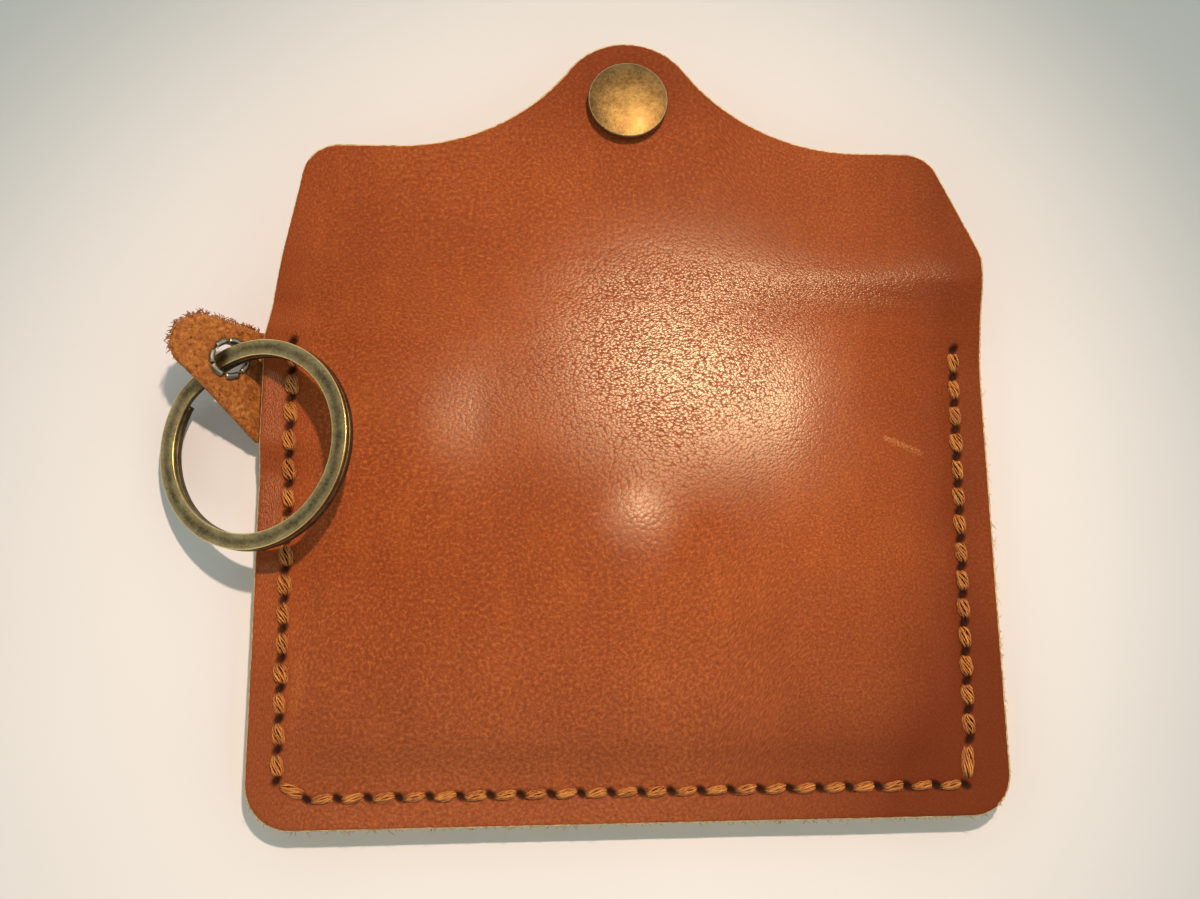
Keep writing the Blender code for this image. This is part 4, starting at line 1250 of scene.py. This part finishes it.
def ring_piece(material):
    """Two turns of flat wire with rounded corners, a step from one to the other and cut ends."""
    section = ring_section()
    sweep = 720.0 - RING_JOG
    place = ring_place()
    verts = []
    proud = []
    sunk = []
    for step in range(RING_STEPS + 1):
        angle = sweep * step / RING_STEPS
        climb = ease((angle - (360.0 - RING_JOG)) / RING_JOG)
        height = RING_TURN * climb - RING_TURN / 2
        turn = math.radians(angle + RING_END_TURN)
        wobble = RING_WOBBLE * noise.noise(Vector((angle / 40, 0, 3)))
        for radius, z, edge, shade_share in section:
            reach = radius + wobble
            spoke = Vector((reach * math.cos(turn), reach * math.sin(turn), z + height))
            verts.append(place @ spoke)
            # The upper turn's top edges are painted bright: rubbed brass, and painted highlight on
            # the lit side only
            proud.append(edge * (climb if z > 0 else 0.0))
            # Painted shade on the lower turn, under the upper one
            sunk.append(max(shade_share, 0.7 * (1 - climb)))
    mesh = listed_mesh("key_ring", verts, swept_faces(0, RING_STEPS + 1, len(section)))
    return add_piece("key_ring", mesh, material, proud=proud, sunk=sunk)


# Key tab and eyelet


def tab_frame():
    """The free tab's place, leaning up from its pivot, its hole there, and how it leans."""
    reach = Vector((TAB_PIVOT.x - CROSSING.x, CROSSING.z - TAB_PIVOT.z))
    lean = math.atan2(reach.y, reach.x)
    place = Matrix.Translation(TAB_PIVOT) @ Matrix.Rotation(lean, 4, "Y")
    return place, Vector((-reach.length, CROSSING.y - TAB_PIVOT.y, 0)), lean


TAB_PLACE, TAB_HOLE, TAB_LEAN = tab_frame()


def tab_outline():
    """The whole tab, seen flat: its sewn end, two straight sides and a round tip."""
    half = TAB_FOOT / 2
    tip = Vector((-TAB_TIP_REACH, half - TAB_TIP_DROP))
    root = -HALF_WIDTH + TAB_ROOT_DEPTH - TAB_PIVOT.x

    def touch(start, side):
        away = Vector(start) - tip
        spoke = away.normalized() * TAB_TIP_RADIUS
        spoke.rotate(Matrix.Rotation(math.acos(TAB_TIP_RADIUS / away.length) * side, 2))
        return math.degrees(math.atan2(spoke.y, spoke.x)) % 360.0

    start = touch((0, half + TAB_UPPER_RISE), 1)
    end = touch((0, -half), -1)
    outline = [Vector((root, half)), Vector((0, half + TAB_UPPER_RISE))]
    outline += arc(tip, TAB_TIP_RADIUS, start, end)
    return outline + [Vector((0, -half)), Vector((root, -half))]


def tab_bend():
    """The tab's middle line, seen from its end: x and z by the distance from its pivot."""
    start = -TAB_HOLE.x + EYELET_BORE
    run = TAB_TIP_REACH + TAB_TIP_RADIUS - start
    droop = math.radians(TAB_DROOP)
    table = []
    for way in (-1, 1):
        x = TAB_PIVOT.x
        z = TAB_PIVOT.z
        gone = 0.0
        half = []
        while gone < TAB_BEND_REACH:
            half.append((gone * way, x, z))
            middle = (gone + TAB_BEND_STEP / 2) * way
            slope = TAB_LEAN * ease((middle + TAB_BEND_HALF) / (2 * TAB_BEND_HALF))
            slope -= droop * max(0, middle - start) / run
            x -= way * TAB_BEND_STEP * math.cos(slope)
            z += way * TAB_BEND_STEP * math.sin(slope)
            gone += TAB_BEND_STEP
        table += half[::-1] if way < 0 else half[1:]
    return np.array(table)


TAB_BEND = tab_bend()


def on_tab(x, y, rise):
    """Where a place on the flat tab, and a height over its middle, come to when it is bent."""
    gone, xs, zs = TAB_BEND.T
    from_x, to_x = np.interp((-x, TAB_BEND_STEP - x), gone, xs)
    from_z, to_z = np.interp((-x, TAB_BEND_STEP - x), gone, zs)
    slope = math.atan2(to_z - from_z, from_x - to_x)
    return Vector((from_x + math.sin(slope) * rise, TAB_PIVOT.y + y,
                   from_z + math.cos(slope) * rise))


def tab_upper(x, _y):
    """The flat tab's upper face over its middle, lower where its sewn end is pared."""
    share = ease((SKIVE_START - x) / SKIVE_RUN)
    return (SKIVED_LEATHER + (TAB_LEATHER - SKIVED_LEATHER) * share) / 2


def tab_under(x, y):
    """The flat tab's lower face, under its middle."""
    return -tab_upper(x, y)


def tab_piece(suede, grain, edge):
    """The tab as one bent sheet, thin where it is sewn in, with its eyelet hole."""
    lines = (even_lines(-14 * MM, 9 * MM, TAB_STEP), even_lines(-8 * MM, 8 * MM, TAB_STEP))
    piece = sheet_piece("key_tab_leather", tab_outline(), tab_upper, tab_under,
                        lines, lines, (suede, grain, edge))
    mesh = piece.data
    bm = bmesh.new()
    bm.from_mesh(mesh)
    radius = EYELET_BORE + EYELET_WALL + EYELET_EASE
    centre = TAB_HOLE.xy
    doomed = [face for face in bm.faces if (face.calc_center_median().xy - centre).length < radius]
    bmesh.ops.delete(bm, geom=doomed, context="FACES")
    open_edges = [edge for edge in bm.edges if len(edge.link_faces) == 1]
    for vert in {vert for edge in open_edges for vert in edge.verts}:
        vert.co.xy = centre + (vert.co.xy - centre).normalized() * radius
    walls = bmesh.ops.bridge_loops(bm, edges=open_edges)
    for face in walls["faces"]:
        face.material_index = 2
    for vert in bm.verts:
        x, y, z = vert.co
        nap = TAB_NAP * ripple(x, y, TAB_NAP_GRAIN, TAB_NAP_GRAIN, 7.0) if z > 0 else 0
        vert.co = on_tab(x, y, z + nap)
    bmesh.ops.recalc_face_normals(bm, faces=bm.faces)
    bm.to_mesh(mesh)
    bm.free()
    keep_rest_place(mesh)
    return piece


def eyelet_tube(material):
    """The eyelet's tube, with a flat flange below the tab."""
    seat = TAB_LEATHER / 2 / MM
    bore = EYELET_BORE / MM
    tube = bore + EYELET_WALL / MM
    flange = tube + EYELET_FLANGE / MM
    profile = [(bore, seat + 0.2), (tube, seat + 0.25), (tube, -seat - 0.1),
               (flange - 0.05, -seat - 0.1), (flange, -seat - 0.25), (flange - 0.1, -seat - 0.4),
               (bore + 0.15, -seat - 0.4), (bore, -seat - 0.2)]
    return turned("eyelet_tube", profile, material, TAB_PLACE @ Matrix.Translation(TAB_HOLE))


def petal_faces(start):
    """Faces of one petal: two layers of points, out by across, closed all round."""
    row = PETAL_ACROSS + 1
    sheet = row * (PETAL_OUT + 1)
    faces = []
    for out in range(PETAL_OUT):
        for step in range(PETAL_ACROSS):
            a = start + out * row + step
            faces.append((a, a + 1, a + row + 1, a + row))
            faces.append((a + sheet, a + sheet + row, a + sheet + row + 1, a + sheet + 1))
        for side in (0, PETAL_ACROSS):
            a = start + out * row + side
            quad = (a, a + row, a + row + sheet, a + sheet)
            faces.append(quad if side == 0 else quad[::-1])
    for step in range(PETAL_ACROSS):
        for out in (0, PETAL_OUT):
            a = start + out * row + step
            quad = (a, a + sheet, a + sheet + 1, a + 1)
            faces.append(quad if out == 0 else quad[::-1])
    return faces


def eyelet_petals(material):
    """The tube's upper end, split and curled over in ragged petals that the ring presses on."""
    chance = random.Random(11)
    bore = EYELET_BORE / MM
    seat = TAB_LEATHER / 2 / MM
    verts = []
    faces = []
    proud = []
    for petal in range(PETALS):
        middle = math.tau * (petal + 0.5 + chance.uniform(-0.08, 0.08)) / PETALS
        wide = math.tau / PETALS * chance.uniform(0.78, 0.92)
        size = PETAL_SIZE * chance.uniform(0.85, 1.15)
        faces += petal_faces(len(verts))
        for thick in (0, PETAL_THICK):
            for out in range(PETAL_OUT + 1):
                share = out / PETAL_OUT
                curl = PETAL_CURL * share
                radius = bore + 0.02 + size * (1 - math.cos(curl)) + thick * math.cos(curl)
                height = seat + 0.05 + size * math.sin(curl) * 0.6 + 0.1 * (1 - share)
                height -= thick * abs(math.sin(curl)) * 0.8
                if out == 0:
                    height -= PETAL_ROOT
                narrow = 1 - 0.35 * share ** 2
                for step in range(PETAL_ACROSS + 1):
                    angle = middle + (step / PETAL_ACROSS - 0.5) * wide * narrow
                    ragged = noise.noise(Vector((petal * 3.1, step * 0.9, share * 4)))
                    pressed = math.sin(angle - WIRE_WAY) ** 2
                    spoke = (radius + PETAL_RAGGED * ragged - PETAL_PRESSED * pressed) * MM
                    verts.append(TAB_PLACE @ (TAB_HOLE + Vector((
                        spoke * math.cos(angle), spoke * math.sin(angle), height * MM))))
                    is_edge = out in (PETAL_OUT // 2, PETAL_OUT) or step in (0, PETAL_ACROSS)
                    proud.append(1.0 if is_edge else 0.2)
    mesh = listed_mesh("eyelet_petals", verts, faces)
    return add_piece("eyelet_petals", mesh, material, proud=proud)


# Loose fibres


def loose_fibres(edge, count, longest, seed):
    """Short fibres that stand out of an edge of points and inward directions.

    Each is a flat path with the height that it rises by.
    """
    chance = random.Random(seed)
    paths = []
    for _ in range(count):
        point, way = edge[chance.randrange(len(edge))]
        out = -way
        side = Vector((-out.y, out.x))
        length = longest * chance.uniform(0.3, 1.0) ** 2
        bend = chance.uniform(-1.3, 1.3)
        lift = chance.uniform(-0.2, 0.7)
        path = []
        for share in FIBRE_SHARES:
            flat = point + out * (length * share - FIBRE_ROOT) + side * length * bend * share ** 2
            path.append((flat.x, flat.y, lift * length * share * (1.4 - share)))
        paths.append(path)
    return paths


def fibre_piece(name, paths, thick, material):
    """Fibres along paths, each tapering to its end, as one piece."""
    radii = [thick * taper for taper in FIBRE_TAPER]
    return tube_piece(name, paths, [radii] * len(paths), material, sides=5)


def tab_fibres(material):
    """Loose nap along the tab's upper edge and round its tip, and a little along its lower edge."""
    outline = evened(tab_outline(), 0.3 * MM)
    free = [(point, way) for point, way in zip(outline, inward(outline)) if point.x < -0.5 * MM]
    upper = [(point, way) for point, way in free if way.y < 0.35]
    lower = [(point, way) for point, way in free if way.y >= 0.35]
    flat = loose_fibres(upper, count=240, longest=0.85 * MM, seed=5)
    flat += loose_fibres(lower, count=60, longest=0.4 * MM, seed=6)
    level = TAB_LEATHER / 2 - 0.25 * MM
    paths = [[on_tab(x, y, level + rise) for x, y, rise in path] for path in flat]
    return fibre_piece("tab_nap", paths, 0.1 * MM, material)


def edge_fibres(material):
    """Loose fibres along the pocket's bottom and right cut edges."""
    outline = evened(pocket_sides(MOUTH_Y), 0.5 * MM)
    rough = [(point, way) for point, way in zip(outline, inward(outline))
             if way.y > 0.3 or way.x < -0.5]
    flat = loose_fibres(rough, count=420, longest=0.9 * MM, seed=8)
    level = BACK_LEVEL + LEATHER * 0.4
    paths = [[Vector((x, y, level + rise)) for x, y, rise in path] for path in flat]
    return fibre_piece("edge_nap", paths, 0.055 * MM, material)


# The scene


def show(nodes):
    """Hides the named nodes, which a piece stands in for."""
    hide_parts(*nodes)


def build():
    """Every piece and the nodes that it stands for; each piece but the back and the tab is attached
    to the body that it goes with.
    """
    grain = grain_finish()
    flesh = flesh_finish()
    edge = edge_finish()
    suede = suede_finish()
    waxed = thread_finish()
    ring_brass = brass_finish("ring_brass", (0.09, 0.066, 0.036), (0.235, 0.176, 0.09),
                              (0.37, 0.285, 0.15), (0.72, 0.52, 0.22), 1.0, 0.34)
    cap_brass = brass_finish("cap_brass", (0.115, 0.064, 0.027), (0.175, 0.103, 0.043),
                             (0.245, 0.157, 0.07), (0.7, 0.54, 0.28), 0.8, 0.33)
    dark_brass = brass_finish("dark_brass", (0.03, 0.025, 0.022), (0.075, 0.062, 0.052),
                              (0.15, 0.125, 0.105), (0.38, 0.33, 0.27), 1.5, 0.36)
    steel = steel_finish()

    back, front = leather_pieces(grain, flesh, edge)
    show(("back_panel", "flap"))
    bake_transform(back)
    show(("front_panel",))
    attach(front, "wallet")
    for stitches in seam_pieces(waxed):
        show(("sewing_thread",))
        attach(stitches, "wallet")
    for tab in (tab_piece(suede, grain, suede), tab_fibres(suede)):
        show(("key_tab", "key_tab_root"))
        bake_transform(tab)

    for make, finish, node, slot, body in (
        (edge_fibres, edge, "front_panel", "tan_leather", "wallet"),
        (eyelet_tube, dark_brass, "eyelet", "dark_brass", "key_tab"),
        (eyelet_petals, dark_brass, "eyelet", "dark_brass", "key_tab"),
        (ring_piece, ring_brass, "split_ring", "old_brass", "split_ring"),
        (cap_piece, cap_brass, "snap_cap", "old_brass", "flap"),
        (socket_piece, dark_brass, "snap_socket", "dark_brass", "flap"),
        (spring_piece, steel, "snap_spring", "spring_steel", "flap"),
        (stud_piece, dark_brass, "snap_stud", "dark_brass", "wallet"),
        (post_piece, dark_brass, "stud_post", "dark_brass", "wallet"),
    ):
        piece = make(finish)
        show((node,))
        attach(piece, body)


def add_table():
    """The plain table that the wallet lies on."""
    corners = [(x * TABLE_HALF, y * TABLE_HALF, 0) for x, y in ((-1, -1), (1, -1), (1, 1), (-1, 1))]
    mesh = listed_mesh("table", corners, [(0, 1, 2, 3)])
    mesh.materials.append(table_finish())
    table = put("table", mesh)
    table.location.z = -TABLE_DROP


def add_camera():
    """The camera, where the photograph was taken from."""
    camera = bpy.data.cameras.new("camera")
    camera.lens = CAMERA_LENS
    camera.sensor_width = SENSOR
    camera.clip_start = 10 * MM
    eye = put("camera", camera)
    back = -CAMERA_AHEAD.normalized()
    right = CAMERA_UP.cross(back).normalized()
    turn = Matrix((right, back.cross(right), back)).transposed().to_4x4()
    eye.matrix_world = Matrix.Translation(CAMERA_PLACE) @ turn
    bpy.context.scene.camera = eye


def add_lamp(name, kind, place, target, power, colour, **shape):
    """A lamp that points at its target, with the settings of its kind's shape."""
    lamp = bpy.data.lights.new(name, kind)
    lamp.energy = power
    lamp.color = colour
    for key, value in shape.items():
        setattr(lamp, key, value)
    holder = put(name, lamp)
    holder.location = place
    aim = Vector(target) - Vector(place)
    holder.rotation_euler = aim.to_track_quat("-Z", "Y").to_euler()
    return holder


def add_light():
    """A warm key lamp, a lamp that only shows as sheen, and a pale room that darkens upward."""
    key = add_lamp("key_lamp", "SPOT", KEY_PLACE, KEY_TARGET, KEY_POWER, KEY_COLOUR,
                   spot_size=math.radians(26), spot_blend=1.0, shadow_soft_size=0.014)
    key.visible_glossy = False
    sheen = add_lamp("sheen_lamp", "AREA", SHEEN_PLACE, SHEEN_TARGET, SHEEN_POWER, SHEEN_COLOUR,
                     shape="DISK", size=0.08)
    sheen.visible_diffuse = False
    world = bpy.data.worlds.new("studio")
    bpy.context.scene.world = world
    world.use_nodes = True
    room = Nodes(world.node_tree)
    place = room.node("TexCoord", {}, {}, "Generated")
    height = room.node("SeparateXYZ", {}, {"Vector": place}, "Z")
    colour = room.ramp(height, (0.35, (0.89, 0.98, 0.945)), (0.86, (0.03, 0.031, 0.033)))
    ground = room.tree.nodes["Background"].inputs
    room.feed(ground["Color"], colour)
    room.feed(ground["Strength"], ROOM_POWER)


build()
add_table()
add_camera()
add_light()
bpy.context.scene.view_settings.view_transform = "Standard"
